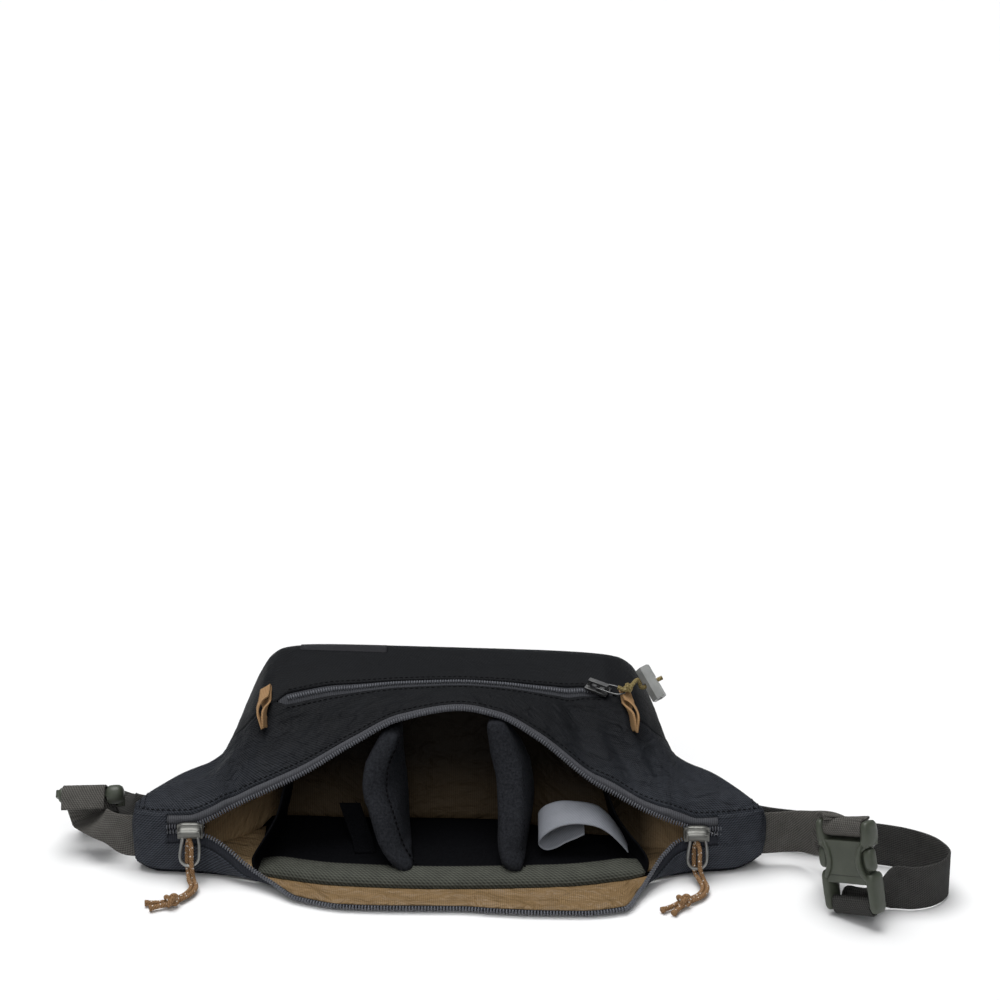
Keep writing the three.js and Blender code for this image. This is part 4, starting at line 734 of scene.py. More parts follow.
def moulding(name, dark, light, rough, metal=0.0, grain=900.0, bump=0.03, shine=0.4):
    material, surface, tint, gloss, relief = surface_of(name, moulded, dark, light, rough, 0.12, bump, shine)
    tree = material.node_tree
    coordinates = tree.nodes.new("ShaderNodeTexCoord")
    surface.inputs["Grain"].default_value = grain
    tree.nodes["Principled BSDF"].inputs["Metallic"].default_value = metal
    tree.links.new(coordinates.outputs["Object"], surface.inputs["Place"])
    tree.links.new(surface.outputs["Wear"], tint.inputs["Factor"])
    tree.links.new(surface.outputs["Grain"], gloss.inputs["Value"])
    tree.links.new(surface.outputs["Grain"], relief.inputs["Height"])
    return material


coil_nylon = moulding("coil_nylon", (0.070, 0.073, 0.085), (0.125, 0.130, 0.148), 0.45)
black_thread = moulding("black_thread", (0.0015, 0.0015, 0.002), (0.004, 0.004, 0.005), 0.7, shine=0.05)
coil_pale = moulding("coil_pale", (0.085, 0.090, 0.105), (0.150, 0.156, 0.175), 0.45)
UPPER_COIL_AT, LOWER_COIL_AT, COIL_LIFT = 1.8, 1.3, 0.2
upper_coil = line_on(front_row, zip_x, lambda x: UPPER_COIL_AT, COIL_LIFT)
lower_coil = line_on(flap_row, zip_x, lambda x: LOWER_COIL_AT, COIL_LIFT)
sewn_row("coil_upper", [upper_coil], 1.5, (0.95, 3.3, 2.6), coil_nylon)
sewn_row("coil_lower", [lower_coil], 1.7, (1.15, 2.9, 2.5), coil_pale)

stitch_x = panel_x[(panel_x > WING_TIP_LEFT + 4) & (panel_x < WING_TIP_RIGHT - 4)]
beside_pocket_x = np.linspace(-91, 91, 90)
STITCH_PITCH, STITCH_SIZE, STITCH_LIFT = 3.1, (2.3, 0.6, 0.5), 0.15
BESIDE_POCKET = 7.4
stitch_lines = [
    line_on(front_row, stitch_x, lambda x: ZIP_REVEAL + 3.2, STITCH_LIFT),
    line_on(front_row, beside_pocket_x, lambda x: seam_distance(x) - BESIDE_POCKET, STITCH_LIFT),
    line_on(front_row, beside_pocket_x, lambda x: seam_distance(x) + BESIDE_POCKET, STITCH_LIFT),
]
sewn_row("shell_stitches", stitch_lines, STITCH_PITCH, STITCH_SIZE, black_thread)

# Zip ends: patches of twill folded over the zip's ends on the wings, and the wings' closed end walls
# with the strap sewn into them. Two rows of topstitching hold each patch.
PATCH_SHARES = np.linspace(0, 1, 7)
PATCH_REACH, PATCH_LIFT = ZIP_REVEAL + 1.4, 0.9
WALL_COLUMNS, WALL_RIBS, WALL_PUFF = 40, 12, 2.2


def unit(v):
    return v / (np.linalg.norm(v) if v.ndim == 1 else np.linalg.norm(v, axis=1, keepdims=True))


def patch_row(x):
    above = front_row(x, mix(PATCH_REACH, 0, PATCH_SHARES))
    below = flap_row(x, mix(0, PATCH_REACH, PATCH_SHARES))[1:]
    return np.vstack([above, below])


for side, sign, first, last in (
    ("left", -1, WING_TIP_LEFT, MAIN_ZIP_LEFT + 2),
    ("right", 1, MAIN_ZIP_RIGHT - 2, WING_TIP_RIGHT),
):
    patch_grid = np.array([patch_row(x) for x in np.linspace(first, last, 9)])
    patch_skin = patch_grid - normals_of(patch_grid) * PATCH_LIFT
    patch = grid_piece(f"zip_patch_{side}", patch_skin, nylon, 1, turned=True)
    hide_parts(f"zip_end_{side}")

    tip = first if side == "left" else last
    front_line = front_row(tip, np.linspace(0, front_length(tip), WALL_COLUMNS))
    flap_line = flap_row(tip, np.linspace(0, flap_length(tip), WALL_COLUMNS))
    under_line = np.linspace(flap_line[-1], front_line[-1], 30)
    low_line = np.vstack([flap_line, under_line[1:]])
    low_step = run_along(low_line)
    even = np.linspace(0, low_step[-1], WALL_COLUMNS)
    low_even = np.stack([np.interp(even, low_step, low_line[:, k]) for k in range(3)], 1)
    ribs = np.linspace(0, 1, WALL_RIBS)
    wall_grid = low_even[None] * (1 - ribs[:, None, None]) + front_line[None] * ribs[:, None, None]
    puff = np.sin(np.pi * ribs)[:, None] * np.sin(np.pi * np.linspace(0, 1, WALL_COLUMNS))[None]
    wall_grid[:, :, 0] += sign * (0.2 + WALL_PUFF * puff)
    wing_end = grid_piece(f"wing_end_{side}", wall_grid, nylon, 1.2, turned=side == "right")

    rows = []
    for inset in (2.5, 5.5):
        end_x = tip - sign * inset
        distances = np.linspace(ZIP_REVEAL + 4, front_length(end_x) - 3, 30)
        line = front_row(end_x, distances)
        normal = unit(np.cross(front_row(end_x + 0.5, distances) - line, np.gradient(line, axis=0)))
        rows.append((line + normal * STITCH_LIFT, normal))
    sewn_row(f"patch_stitches_{side}", rows, STITCH_PITCH, STITCH_SIZE, black_thread)

# Liner: thin coyote-brown lining of the main compartment, hung under the front as a roof, then down as
# the wall to the front pocket and out into the wings' ends. Sewn in at the zip and along its foot.
# x, y and z of the wall's foot
LINER_FOOT = [
    (-139, -44, 5.6), (-118, -30, 5.6), (-108, -20, 7), (-100, -16, 13), (-88, -16, 12.8),
    (-60, -18, 12.8), (-20, -19, 12.8), (25, -21, 12.8), (45, -27, 12.8), (64, -36, 12.8),
    (88, -42, 12.8), (100, -43, 13), (108, -44, 7), (120, -46, 5.6), (137, -49, 5.6),
]
foot_y, foot_z = smooth(LINER_FOOT, 1), smooth(LINER_FOOT, 2)
ROOF_DROP, FACING_END, WALL_SET_BACK = 5, 17, 17


def under_front(x, s, depth):
    way = unit(front_row(x, s + 0.25) - front_row(x, s - 0.25))
    return front_row(x, s) + depth * np.stack([np.zeros(len(way)), way[:, 2], -way[:, 1]], 1)


def liner_row(x):
    skin_x = x * (1 + ROOF_DROP / (-BODY_LEFT if x < 0 else BODY_RIGHT))
    roof_end = front_distance_at(skin_x, foot_y(x) + WALL_SET_BACK)
    roof_start = min(FACING_END - 3, roof_end - 4)
    roof = under_front(skin_x, np.linspace(roof_start, roof_end, 16), ROOF_DROP)
    roof[:, 0] = x
    top = roof[-1]
    foot = np.array([x, foot_y(x), foot_z(x)])
    knee = np.array([x, top[1] + 3, mix(foot[2], top[2], 0.6)])
    return np.vstack([roof, bowed(top, knee, foot, 24)[1:]])


liner_x = np.linspace(-138, 136, 150)
liner_grid = np.array([liner_row(x) for x in liner_x])
fade = np.sin(np.pi * np.linspace(0, 1, liner_grid.shape[1])) ** 0.5
for i, x in enumerate(liner_x):
    for j in range(liner_grid.shape[1]):
        broad_fold = noise.noise(Vector((x * 0.03, j * 0.12, 1.7))) * 1.6
        fine_fold = noise.noise(Vector((x * 0.09, j * 0.2, 5.3)))
        liner_grid[i, j, 1] -= fade[j] * max(0, broad_fold + fine_fold + 0.4)
liner_brown = cloth(
    "liner_brown", (0.270, 0.180, 0.094), (0.520, 0.365, 0.205), 0.9, 0.0, 0.06, 0.5, shine=0.06, crumple=3
)
# brown out in the wings and nearly black deep in the compartment, as the photograph is lit
liner_tree = liner_brown.node_tree
liner_axes = object_axes(liner_tree)
in_left_wing = ramp(liner_tree, liner_axes["X"], -0.092, -0.112, 0, 1)
in_right_wing = ramp(liner_tree, liner_axes["X"], 0.104, 0.132, 0, 1)
out_to_wing = math_node(liner_tree, "MAXIMUM", in_left_wing, in_right_wing)
by_height = ramp(liner_tree, liner_axes["Z"], 0.012, 0.05, 0.13, 0.012)
deep_tint = added(liner_tree, "ShaderNodeMix", {"A": (0.003, 0.0023, 0.0015, 1)}, data_type="RGBA")
liner_tree.links.new(math_node(liner_tree, "MAXIMUM", out_to_wing, by_height), deep_tint.inputs["Factor"])
over_base(liner_tree, deep_tint, "B", "Result")
liner = grid_piece("liner_cloth", liner_grid, liner_brown, LINING_THICK, turned=True)
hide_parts("liner")

# Wing lining: the same brown cloth over the floor of each wing, from the liner's foot to the flap.
# It covers the back panel's inner face beyond the pad's ends.
for side, first, last in (("left", -139, -100), ("right", 104, 137)):
    floor_rows = []
    for x in np.linspace(first, last, 24):
        deep = np.linspace(back_near_y(x) + 1, foot_y(x) + 3, 20)
        folds = [max(0, noise.noise(Vector((x * 0.09, y * 0.12, 4.2)))) for y in deep]
        lift = [6 + 1.2 * fold + tip_lift(x) for fold in folds]
        floor_rows.append(np.stack([np.full(20, x), deep, lift], 1))
    wing_floor = grid_piece(f"wing_lining_{side}", np.array(floor_rows), liner_brown, 0.8)

# Lip facing: a grey-green mesh tape sewn under the upper zip edge inside the mouth.
# A stitched tape of the same kind binds the pad's near edge.
band_green = cloth("green_mesh", (0.025, 0.026, 0.022), (0.098, 0.102, 0.085), 0.42, 1.0, 0.4, 0.85)
facing_x = np.linspace(-112, 104, 110)
facing_s = np.linspace(ZIP_REVEAL + 1, FACING_END + 1, 8)
facing_grid = np.array([under_front(x, facing_s, 2.6) for x in facing_x])
facing = grid_piece("lip_tape", facing_grid, band_green, LINING_THICK, turned=True)
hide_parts("lip_facing")

# Floor pad: foam faced with black loop pile, tapering at both ends, its near edge rolled and bound with
# the grey-green tape. A black wall of the same pile stands at each end of the compartment.
PAD_LEFT, PAD_RIGHT, PAD_TAPER = -105, 111, 14
PAD_FLOOR_Z, PAD_ROLL_Z, PAD_TOP_Z, PAD_ROLL_DEEP = 4.7, 9.6, 12, 13
# distance in from the near edge, height
PAD_ROLL = [
    (0, 4.8), (0.3, 5.6), (0.9, 6.6), (2, 7.4), (3.6, 8), (6, 8.6), (9, 9.1), (PAD_ROLL_DEEP, PAD_ROLL_Z),
]
# x, y of the far edge
PAD_FAR = [(-110, -18), (-96, -8), (-60, 0), (25, -2), (64, -18), (92, -30), (110, -42)]
pad_far_y = smooth(PAD_FAR, 1)


def pad_row(x, level):
    near = back_near_y(x) + 0.3
    end = min(1, (x - PAD_LEFT) / PAD_TAPER, (PAD_RIGHT - x) / PAD_TAPER)
    taper = mix(0.2, 1, max(0, end) ** 0.6)
    ends = [(near + inward, z) for inward, z in PAD_ROLL]
    for y in np.linspace(near + PAD_ROLL_DEEP, max(near + 16, pad_far_y(x)), 14)[1:]:
        ends.append((y, mix(PAD_ROLL_Z, PAD_TOP_Z, min(1, (y - near - PAD_ROLL_DEEP) / 20))))
    return [(x, y, PAD_FLOOR_Z + (z - PAD_FLOOR_Z) * taper * level) for y, z in ends]


def pile(name, dark, light, scale, bump):
    material = cloth(name, dark, light, 0.4, 0.0, bump, 0.9, shine=0.03, on_object=True)
    tree = material.node_tree
    fuzz = added(tree, "ShaderNodeTexNoise", {"Scale": scale, "Detail": 8, "Roughness": 0.8})
    tree.links.new(first_node(tree, "TEX_COORD").outputs["Object"], fuzz.inputs["Vector"])
    tree.links.new(fuzz.outputs["Fac"], first_node(tree, "BUMP").inputs["Height"])
    spread = math_node(tree, "MULTIPLY", fuzz.outputs["Fac"], 2.6)
    tree.links.new(math_node(tree, "SUBTRACT", spread, 0.8), first_node(tree, "MIX").inputs["Factor"])
    return material


pile_black = pile("loop_pile", (0.0012, 0.0013, 0.0018), (0.0060, 0.0062, 0.0075), 900, 0.5)
pad_x = np.linspace(PAD_LEFT, PAD_RIGHT, 100)
pad_high = np.array([pad_row(x, 1) for x in pad_x])
pad_low = np.array([pad_row(x, 0) for x in pad_x])
ROLLED = len(PAD_ROLL)
pad_high[:, ROLLED:-1, 2] += np.array([
    [0.5 * noise.noise(Vector((x * 0.05, y * 0.05, 2))) for y in row[ROLLED:-1, 1]]
    for x, row in zip(pad_x, pad_high)
])
pad = closed_piece("pad_foam", pad_high, pad_low, pile_black)
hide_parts("floor_pad")

bind_grid = raised(pad_high[:, :ROLLED], np.linspace(1.6, 1.5, ROLLED))
bind_grid[:, 0] += (0, -0.5, -1)
binding = grid_piece("pad_tape", bind_grid, band_green, 1.2)
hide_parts("pad_binding")
olive_thread = moulding("olive_thread", (0.040, 0.042, 0.032), (0.080, 0.082, 0.066), 0.7)
bind_facing = normals_of(bind_grid)
bind_lines = [(bind_grid[:, k] + bind_facing[:, k] * 0.1, bind_facing[:, k]) for k in (1, 6)]
sewn_row("tape_stitches", bind_lines, 3, (2.2, 0.5, 0.4), olive_thread)


def smooth_points(points, steps):
    columns = [smooth([(i, p[k]) for i, p in enumerate(points)], 1) for k in range(len(points[0]))]
    return np.array([[column(step) for column in columns] for step in steps])


# the near edge of each side wall from its foot up, and its far edge
SIDE_WALLS = {
    "left": (
        [(-105, -78, 5), (-107.5, -76, 13), (-101.6, -70, 23), (-95, -62, 33), (-90, -56, 51)],
        [(-93, -12, 5), (-93, -12, 15), (-91, -12, 26), (-89, -11, 38), (-86, -10, 60)],
    ),
    "right": (
        [(112, -77, 5), (113.5, -74, 11), (110, -69, 17), (104, -62, 22), (97, -53, 29), (91, -50, 44)],
        [(96, -40, 5), (96, -40, 12), (95, -40, 19), (93, -39, 26), (91, -38, 34), (87, -36, 48)],
    ),
}
for side, (near_edge, far_edge) in SIDE_WALLS.items():
    heights = np.linspace(0, len(near_edge) - 1, 30)
    t = np.linspace(0, 1, 16)[:, None, None]
    wall_grid = (1 - t) * smooth_points(near_edge, heights) + t * smooth_points(far_edge, heights)
    wall = grid_piece(f"pad_wall_{side}", wall_grid, pile_black, 1, turned=side == "left")

# Dividers: padded walls of fuzzy black loop cloth with a bound and stitched near edge, fixed to the floor
# pad by hook tabs. Their padding is puffed by a short cloth simulation inside the sewn outline.
# near edge's x, y, z, far edge's x, y, z, half thickness, from the foot up
DIVIDERS = {
    "left": [
        (-20, -83, 9.2, -27, -26, 12.4, 4.2),
        (-22.5, -85, 12, -27, -26, 13.4, 6),
        (-30.5, -80, 21, -27, -23, 22, 6.4),
        (-37, -72, 36.7, -27, -20, 36, 6.4),
        (-42, -62, 48.8, -28, -18, 48, 6.4),
        (-41, -56, 57.7, -29, -16, 60, 6.4),
        (-35, -49, 68, -29, -15, 70, 6.2),
        (-31, -43, 75, -28, -15, 75, 5),
    ],
    "right": [
        (39, -84, 9.2, 40, -36, 12.4, 4.2),
        (37, -86, 12, 41, -35, 13.4, 6),
        (34.4, -81, 20, 43, -32, 22, 6.5),
        (35.4, -73, 33, 44.5, -29, 34, 6.6),
        (34.4, -60, 52, 44, -25, 48, 6.6),
        (30, -51, 66, 40, -22, 60, 6.5),
        (27, -45, 77, 33, -20, 70, 6.2),
        (26, -42, 81, 28, -20, 76, 5),
    ],
}


FILL_FRAMES = 20


def puffed(piece, voxel, cap):
    remesh = piece.modifiers.new("even", "REMESH")
    remesh.mode = "VOXEL"
    remesh.voxel_size = voxel / 1000
    graph = bpy.context.evaluated_depsgraph_get()
    even = bpy.data.meshes.new_from_object(piece.evaluated_get(graph))
    piece.modifiers.clear()
    even.materials.clear()
    even.materials.append(piece.data.materials[0])
    piece.data = even
    count = len(even.vertices)
    rest = np.empty(count * 3)
    even.vertices.foreach_get("co", rest)
    sim = piece.modifiers.new("fill", "CLOTH")
    sim.settings.quality = 5
    sim.settings.mass = 0.2
    sim.settings.use_pressure = True
    sim.settings.uniform_pressure_force = 4
    sim.settings.effector_weights.gravity = 0
    sim.point_cache.frame_start = 1
    sim.point_cache.frame_end = FILL_FRAMES
    for step in range(1, FILL_FRAMES + 1):
        scene.frame_set(step)
    filled = bpy.data.meshes.new_from_object(piece.evaluated_get(bpy.context.evaluated_depsgraph_get()))
    moved = np.empty(count * 3)
    filled.vertices.foreach_get("co", moved)
    shift = (moved - rest).reshape(-1, 3)
    size = np.linalg.norm(shift, axis=1, keepdims=True)
    shift *= np.minimum(1, cap / 1000 / np.maximum(size, 1e-9))
    even.vertices.foreach_set("co", (rest.reshape(-1, 3) + shift).ravel())
    piece.modifiers.clear()
    scene.frame_set(1)
    even.polygons.foreach_set("use_smooth", [True] * len(even.polygons))
    finer = piece.modifiers.new("finer", "SUBSURF")
    finer.levels = 1
    finer.render_levels = 1


divider_pile = pile("divider_pile", (0.006, 0.0064, 0.0078), (0.034, 0.036, 0.042), 700, 0.9)
for side, rows in DIVIDERS.items():
    faces_a, faces_b, rim = [], [], []
    for level in smooth_points(rows, np.linspace(0, len(rows) - 1, 60)):
        near, far, half = level[:3], level[3:6], level[6]
        deep = np.linalg.norm(far - near)
        way = (far - near) / deep
        across = unit(np.array([way[1], -way[0], 0]))
        turn = np.linspace(0.06, math.pi / 2, 7)
        inward = np.concatenate([half * (1 - np.cos(turn)), np.linspace(half, deep, 14)[1:]])
        width = np.concatenate([half * np.sin(turn), np.linspace(half, half * 0.8, 14)[1:]])
        spine = near + way * inward[:, None]
        faces_a.append(spine + across * width[:, None])
        faces_b.append(spine - across * width[:, None])
        rim.append((spine[6] + way * 1.5 + across * (half + 0.6), across))
    divider = closed_piece(f"divider_pad_{side}", np.array(faces_a), np.array(faces_b), divider_pile)
    puffed(divider, 2.6, 1.6)
    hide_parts(f"divider_{side}")
    rim_line, rim_facing = (np.array(column) for column in zip(*rim[6:-4]))
    sewn_row(f"divider_stitches_{side}", [(rim_line, rim_facing)], 3.2, (2.4, 0.8, 1), black_thread)

# Hook tab: the left divider's black hook-tape foot, pressed on to the pad and curling up behind.
# A row of stitches runs along it inside each edge.
TAB_LINE = [(-45, -63, 11.6), (-47, -53, 14.5), (-51.5, -43, 22), (-55, -37, 30)]
tab_places = smooth_points(TAB_LINE, 3 * np.linspace(0, 1, 24))
tab_grid = np.array([tab_places + (shift, 0, 0.3) for shift in np.linspace(-6, 6, 12)])
tab = grid_piece("hook_tab", tab_grid, pile_black, 1.6)
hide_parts("divider_tab_left")
tab_facing = normals_of(tab_grid)
tab_lines = [(tab_grid[k] + tab_facing[k] * 0.1, tab_facing[k]) for k in (2, 9)]
sewn_row("tab_stitches", tab_lines, 2.6, (1.9, 0.5, 0.4), black_thread)

# Care label: a bare white satin tape sewn in at the right bay's side, leaning back and folded on itself.
# Cut from a plain strip, with no print on it.
# near edge's x and z, and how far the other edge stands above it
LABEL_BEND = [
    (102, 13, 0), (97, 19, 2), (91.3, 24.6, 4), (84.6, 28.6, 5.5), (73, 30.4, 6), (63, 28.4, 8),
    (54.5, 22.5, 10), (52.4, 18.4, 10), (55.5, 15, 10), (61, 15.8, 9), (67.4, 19.4, 8), (73, 22, 7),
    (77.5, 24.4, 6.5),
]
LABEL_NEAR_Y, LABEL_DEEP = -66, 17


def routed(points, each):
    points = np.array(points, float)
    ends = np.vstack([2 * points[0] - points[1], points, 2 * points[-1] - points[-2]])
    made = []
    for k in range(len(points) - 1):
        p = ends[k:k + 4]
        gap = np.maximum(np.linalg.norm(np.diff(p, axis=0), axis=1), 1e-6) ** 0.5
        m1 = (p[1] - p[0]) / gap[0] - (p[2] - p[0]) / (gap[0] + gap[1]) + (p[2] - p[1]) / gap[1]
        m2 = (p[2] - p[1]) / gap[1] - (p[3] - p[1]) / (gap[1] + gap[2]) + (p[3] - p[2]) / gap[2]
        m1, m2 = m1 * gap[1], m2 * gap[1]
        t = np.linspace(0, 1, each, endpoint=False)[:, None]
        h = (2 * t ** 3 - 3 * t ** 2 + 1, t ** 3 - 2 * t ** 2 + t, -2 * t ** 3 + 3 * t ** 2, t ** 3 - t ** 2)
        made.append(h[0] * p[1] + h[1] * m1 + h[2] * p[2] + h[3] * m2)
    return np.vstack(made + [points[-1:]])


label_line = routed(LABEL_BEND, 10)
label_grid = np.array([
    [(x, LABEL_NEAR_Y + LABEL_DEEP * share, z + rise * share) for share in np.linspace(0, 1, 14)]
    for x, z, rise in label_line
])
label_white = cloth("satin_white", (0.15, 0.16, 0.18), (0.27, 0.28, 0.31), 1.2, 0.4, 0.05, 0.5)
label = grid_piece("care_tape", label_grid, label_white, 0.5)
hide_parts("care_label")

# Main sliders: die-cast pewter, one at each end of the opening, with a bent wire ring on each bridge.
# The bodies are the CAD pieces with their edges eased, each under a cast cover in two tiers.
pewter = moulding(
    "pewter", (0.075, 0.075, 0.070), (0.200, 0.200, 0.185), 0.42, metal=0.8, grain=400.0, bump=0.15
)


def eased(node, width, material):
    piece = nodes[node]
    piece.data.materials.clear()
    piece.data.materials.append(material)
    weld = piece.modifiers.new("weld", "WELD")
    weld.merge_threshold = 0.00002
    bevel = piece.modifiers.new("edge", "BEVEL")
    bevel.width = width / 1000
    bevel.segments = 3
    bevel.limit_method = "ANGLE"
    bevel.angle_limit = math.radians(35)
    bevel.harden_normals = True


ring_wire = moulding("ring_wire", (0.15, 0.15, 0.143), (0.40, 0.40, 0.385), 0.38, metal=0.85, grain=500.0)
dark_pewter = moulding("dark_pewter", (0.07, 0.07, 0.072), (0.20, 0.20, 0.20), 0.4, metal=0.9, grain=500.0)
for node in ("main_slider_left", "main_slider_right"):
    eased(node, 1.3, pewter)
eased("pocket_slider", 1, dark_pewter)


def swept(name, loops, material, closed=False):
    rows, count = loops.shape[:2]
    along = run_along(loops.mean(axis=1))
    girth = np.linalg.norm(np.roll(loops, -1, axis=1) - loops, axis=2).mean(axis=0)
    around = np.concatenate([[0], np.cumsum(girth)])
    faces, uv = [], []
    for i in range(rows if closed else rows - 1):
        nxt = (i + 1) % rows
        end = along[i + 1] if i + 1 < rows else along[-1] + along[1]
        for j in range(count):
            side = (j + 1) % count
            faces.append((i * count + j, i * count + side, nxt * count + side, nxt * count + j))
            uv += [(around[j], along[i]), (around[j + 1], along[i]), (around[j + 1], end), (around[j], end)]
    if not closed:
        faces.append(tuple(reversed(range(count))))
        faces.append(tuple((rows - 1) * count + k for k in range(count)))
        uv += [(0, 0)] * (2 * count)
    return meshed(name, loops, faces, material, uv)


def tube_loops(line, radius, sides, closed=False, braid=0.0):
    line = np.array(line, float)
    if closed:
        tangent = unit(np.roll(line, -1, axis=0) - np.roll(line, 1, axis=0))
    else:
        tangent = unit(np.gradient(line, axis=0))
    start = np.array([0, 0, 1.0]) if abs(tangent[0, 2]) < 0.9 else np.array([0, 1.0, 0])
    normals = []
    for way in tangent:
        start = unit(start - way * start.dot(way))
        normals.append(start)
    normals = np.array(normals)
    if closed:
        slip = math.atan2(np.dot(np.cross(normals[-1], normals[0]), tangent[0]), normals[-1].dot(normals[0]))
        spin = np.linspace(0, slip, len(line))
    else:
        spin = np.zeros(len(line))
    sideways = np.cross(tangent, normals)
    radius = np.broadcast_to(np.asarray(radius, float), (len(line),))
    length = run_along(line)
    loops = []
    for k in range(len(line)):
        angle = np.linspace(0, 2 * math.pi, sides, endpoint=False) + spin[k]
        lay = length[k] * 1.5
        swell = 1 + braid * np.cos(3 * angle + lay) * np.cos(3 * angle - lay)
        ring = normals[k] * np.cos(angle)[:, None] + sideways[k] * np.sin(angle)[:, None]
        loops.append(line[k] + ring * (radius[k] * swell)[:, None])
    return np.array(loops)


def wire_ring(name, bar, along, across, half_top, half_low, length, wire, material):
    corner = 3
    outline = [(-half_top, 0), (half_top, 0), (half_low, -length + corner), (half_low - corner, -length),
               (-half_low + corner, -length), (-half_low, -length + corner), (-half_top, 0)]
    line = routed([np.array(bar) + np.array(across) * a + np.array(along) * -b for a, b in outline], 8)
    return swept(name, tube_loops(line[:-1], wire / 2, 10, closed=True), material, closed=True)


SLIDERS = {"left": -142, "right": 140}
# the slider's cast cover: share of its length and of its width, height over the zip
CROWN = [
    (1, 1, 0.6), (1.02, 1.02, 1.8), (1, 0.98, 2.8), (0.95, 0.84, 3.6), (0.92, 0.62, 4.2), (0.9, 0.5, 5.4),
    (0.86, 0.46, 6.8), (0.76, 0.38, 7.7), (0.5, 0.2, 8.2),
]
CROWN_LONG, CROWN_WIDE = 7, 4.6
RING_LENGTH, RING_WIRE = 18, 1.8
RING_TILT = math.radians(17)


def soft_square(sides, power):
    turn = np.linspace(0, 2 * math.pi, sides, endpoint=False)
    return [np.sign(k) * np.abs(k) ** power for k in (np.cos(turn), np.sin(turn))]


ring_down = np.array([0, -math.sin(RING_TILT), -math.cos(RING_TILT)])
ring_foot = {}
crown_a, crown_b = soft_square(40, 0.55)
for side, slider_x in SLIDERS.items():
    bar = np.array([slider_x, upper_y(slider_x) - 4.75, upper_z(slider_x)])
    ring = wire_ring(
        f"wire_ring_{side}", bar, ring_down, (1, 0, 0), 3.4, 4.9, RING_LENGTH, RING_WIRE, ring_wire
    )
    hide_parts(f"main_pull_{side}")
    ring_foot[side] = bar + ring_down * RING_LENGTH
    crown_loops = []
    for long_share, wide_share, rise in CROWN:
        along = bar[0] + CROWN_LONG * long_share * crown_a
        up = bar[2] + CROWN_WIDE * wide_share * crown_b
        crown_loops.append(np.stack([along, np.full(len(along), upper_y(slider_x) - rise), up], 1))
    crown = swept(f"slider_crown_{side}", np.array(crown_loops), pewter)

# Pull cords: tan braided cord with pale flecks, doubled through each ring and laid on the floor.
# Each ends at an overhand knot, a closed trefoil tube, with two cut tails that flare.
CORD_RADIUS, STRAND, CORD_RISE = 1.25, 1.3, 12.5
TAIL_BEND, TAIL_LONG = 6, 13
CORD_LAYS = {
    "left": [(1.5, -82, 4.4), (3.5, -88, 3), (1, -96, 2.4), (-3.5, -102, 2.4)],
    "right": [(2, -82, 4.4), (3.5, -89, 3), (0.5, -97, 2.4), (-6, -103, 2.4)],
}
TAIL_WAYS = {"left": (-0.98, -0.2, 0), "right": (-0.7, -0.7, 0)}


def braided(name, dark, light, fleck):
    material = cloth(name, dark, light, 0.62, 0.9, 0.35, 0.8)
    tree = material.node_tree
    spots = added(tree, "ShaderNodeTexVoronoi", {"Scale": 0.5})
    tree.links.new(first_node(tree, "TEX_COORD").outputs["UV"], spots.inputs["Vector"])
    few = math_node(tree, "LESS_THAN", spots.outputs["Distance"], 0.21)
    flecked = added(tree, "ShaderNodeMix", {"B": (*fleck, 1)}, data_type="RGBA")
    tree.links.new(few, flecked.inputs["Factor"])
    over_base(tree, flecked, "A", "Result")
    return material


cord_tan = braided("tan_cord", (0.150, 0.080, 0.036), (0.330, 0.200, 0.105), (0.70, 0.66, 0.60))


def overhand(centre, way, size, radius, name, material):
    way = unit(np.array(way, float))
    across = unit(np.cross([0, 0, 1.0], way))
    up = np.cross(way, across)
    t = np.linspace(0, 2 * math.pi, 90, endpoint=False)
    a = (np.sin(t) + 2 * np.sin(2 * t)) / 3
    b = (np.cos(t) - 2 * np.cos(2 * t)) / 3
    c = -np.sin(3 * t) * 0.55
    line = centre + size * (a[:, None] * way + b[:, None] * across + c[:, None] * up)
    return swept(name, tube_loops(line, radius, 12, closed=True, braid=0.06), material, closed=True)


for side, lay in CORD_LAYS.items():
    middle = np.array([(SLIDERS[side] + x, y, z) for x, y, z in lay])
    way = np.gradient(middle, axis=0)
    flat = unit(np.stack([-way[:, 1], way[:, 0], np.zeros(len(way))], 1))
    foot = ring_foot[side]
    top = foot - ring_down * CORD_RISE
    through = [foot + (1.5, -2.4, 0.6), top + (1.2, -2.2, -1), top + (0, 0.1, 2), top + (-1.2, 2.2, -1),
               foot + (-1.5, 2.4, 1.4), foot + (-1, 0.6, -3)]
    points = [*(middle + flat * STRAND)[::-1], *through, *(middle - flat * STRAND)]
    strands = tube_loops(routed(points, 14), CORD_RADIUS, 14, braid=0.07)
    cord = swept(f"braided_cord_{side}", strands, cord_tan)
    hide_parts(f"pull_cord_{side}")

    end_way = unit((middle[-1] - middle[-2]) * (1, 1, 0))
    centre = middle[-1] * (1, 1, 0) + (0, 0, 3.9) + end_way * 5
    knot = overhand(centre, end_way, 3.2, 1.45, f"cord_knot_{side}", cord_tan)
    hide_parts(f"pull_knot_{side}")
    tail_way = np.array(TAIL_WAYS[side])
    for letter, turn in (("a", -1), ("b", 1)):
        beside = np.array([-tail_way[1], tail_way[0], 0]) * turn
        start = centre + beside * 1.6 + (0, 0, -1.2)
        tail_line = routed([start, start + tail_way * TAIL_BEND + beside * 0.4 + (0, 0, -0.6),
                            start + tail_way * (TAIL_LONG - turn) + beside * 1.8 + (0, 0, -0.8)], 14)
        flare = np.interp(np.linspace(0, 1, len(tail_line)), [0, 0.8, 1], [1.4, 1.4, 1.9])
        tail = swept(f"cord_tail_{side}_{letter}", tube_loops(tail_line, flare, 12, braid=0.09), cord_tan)

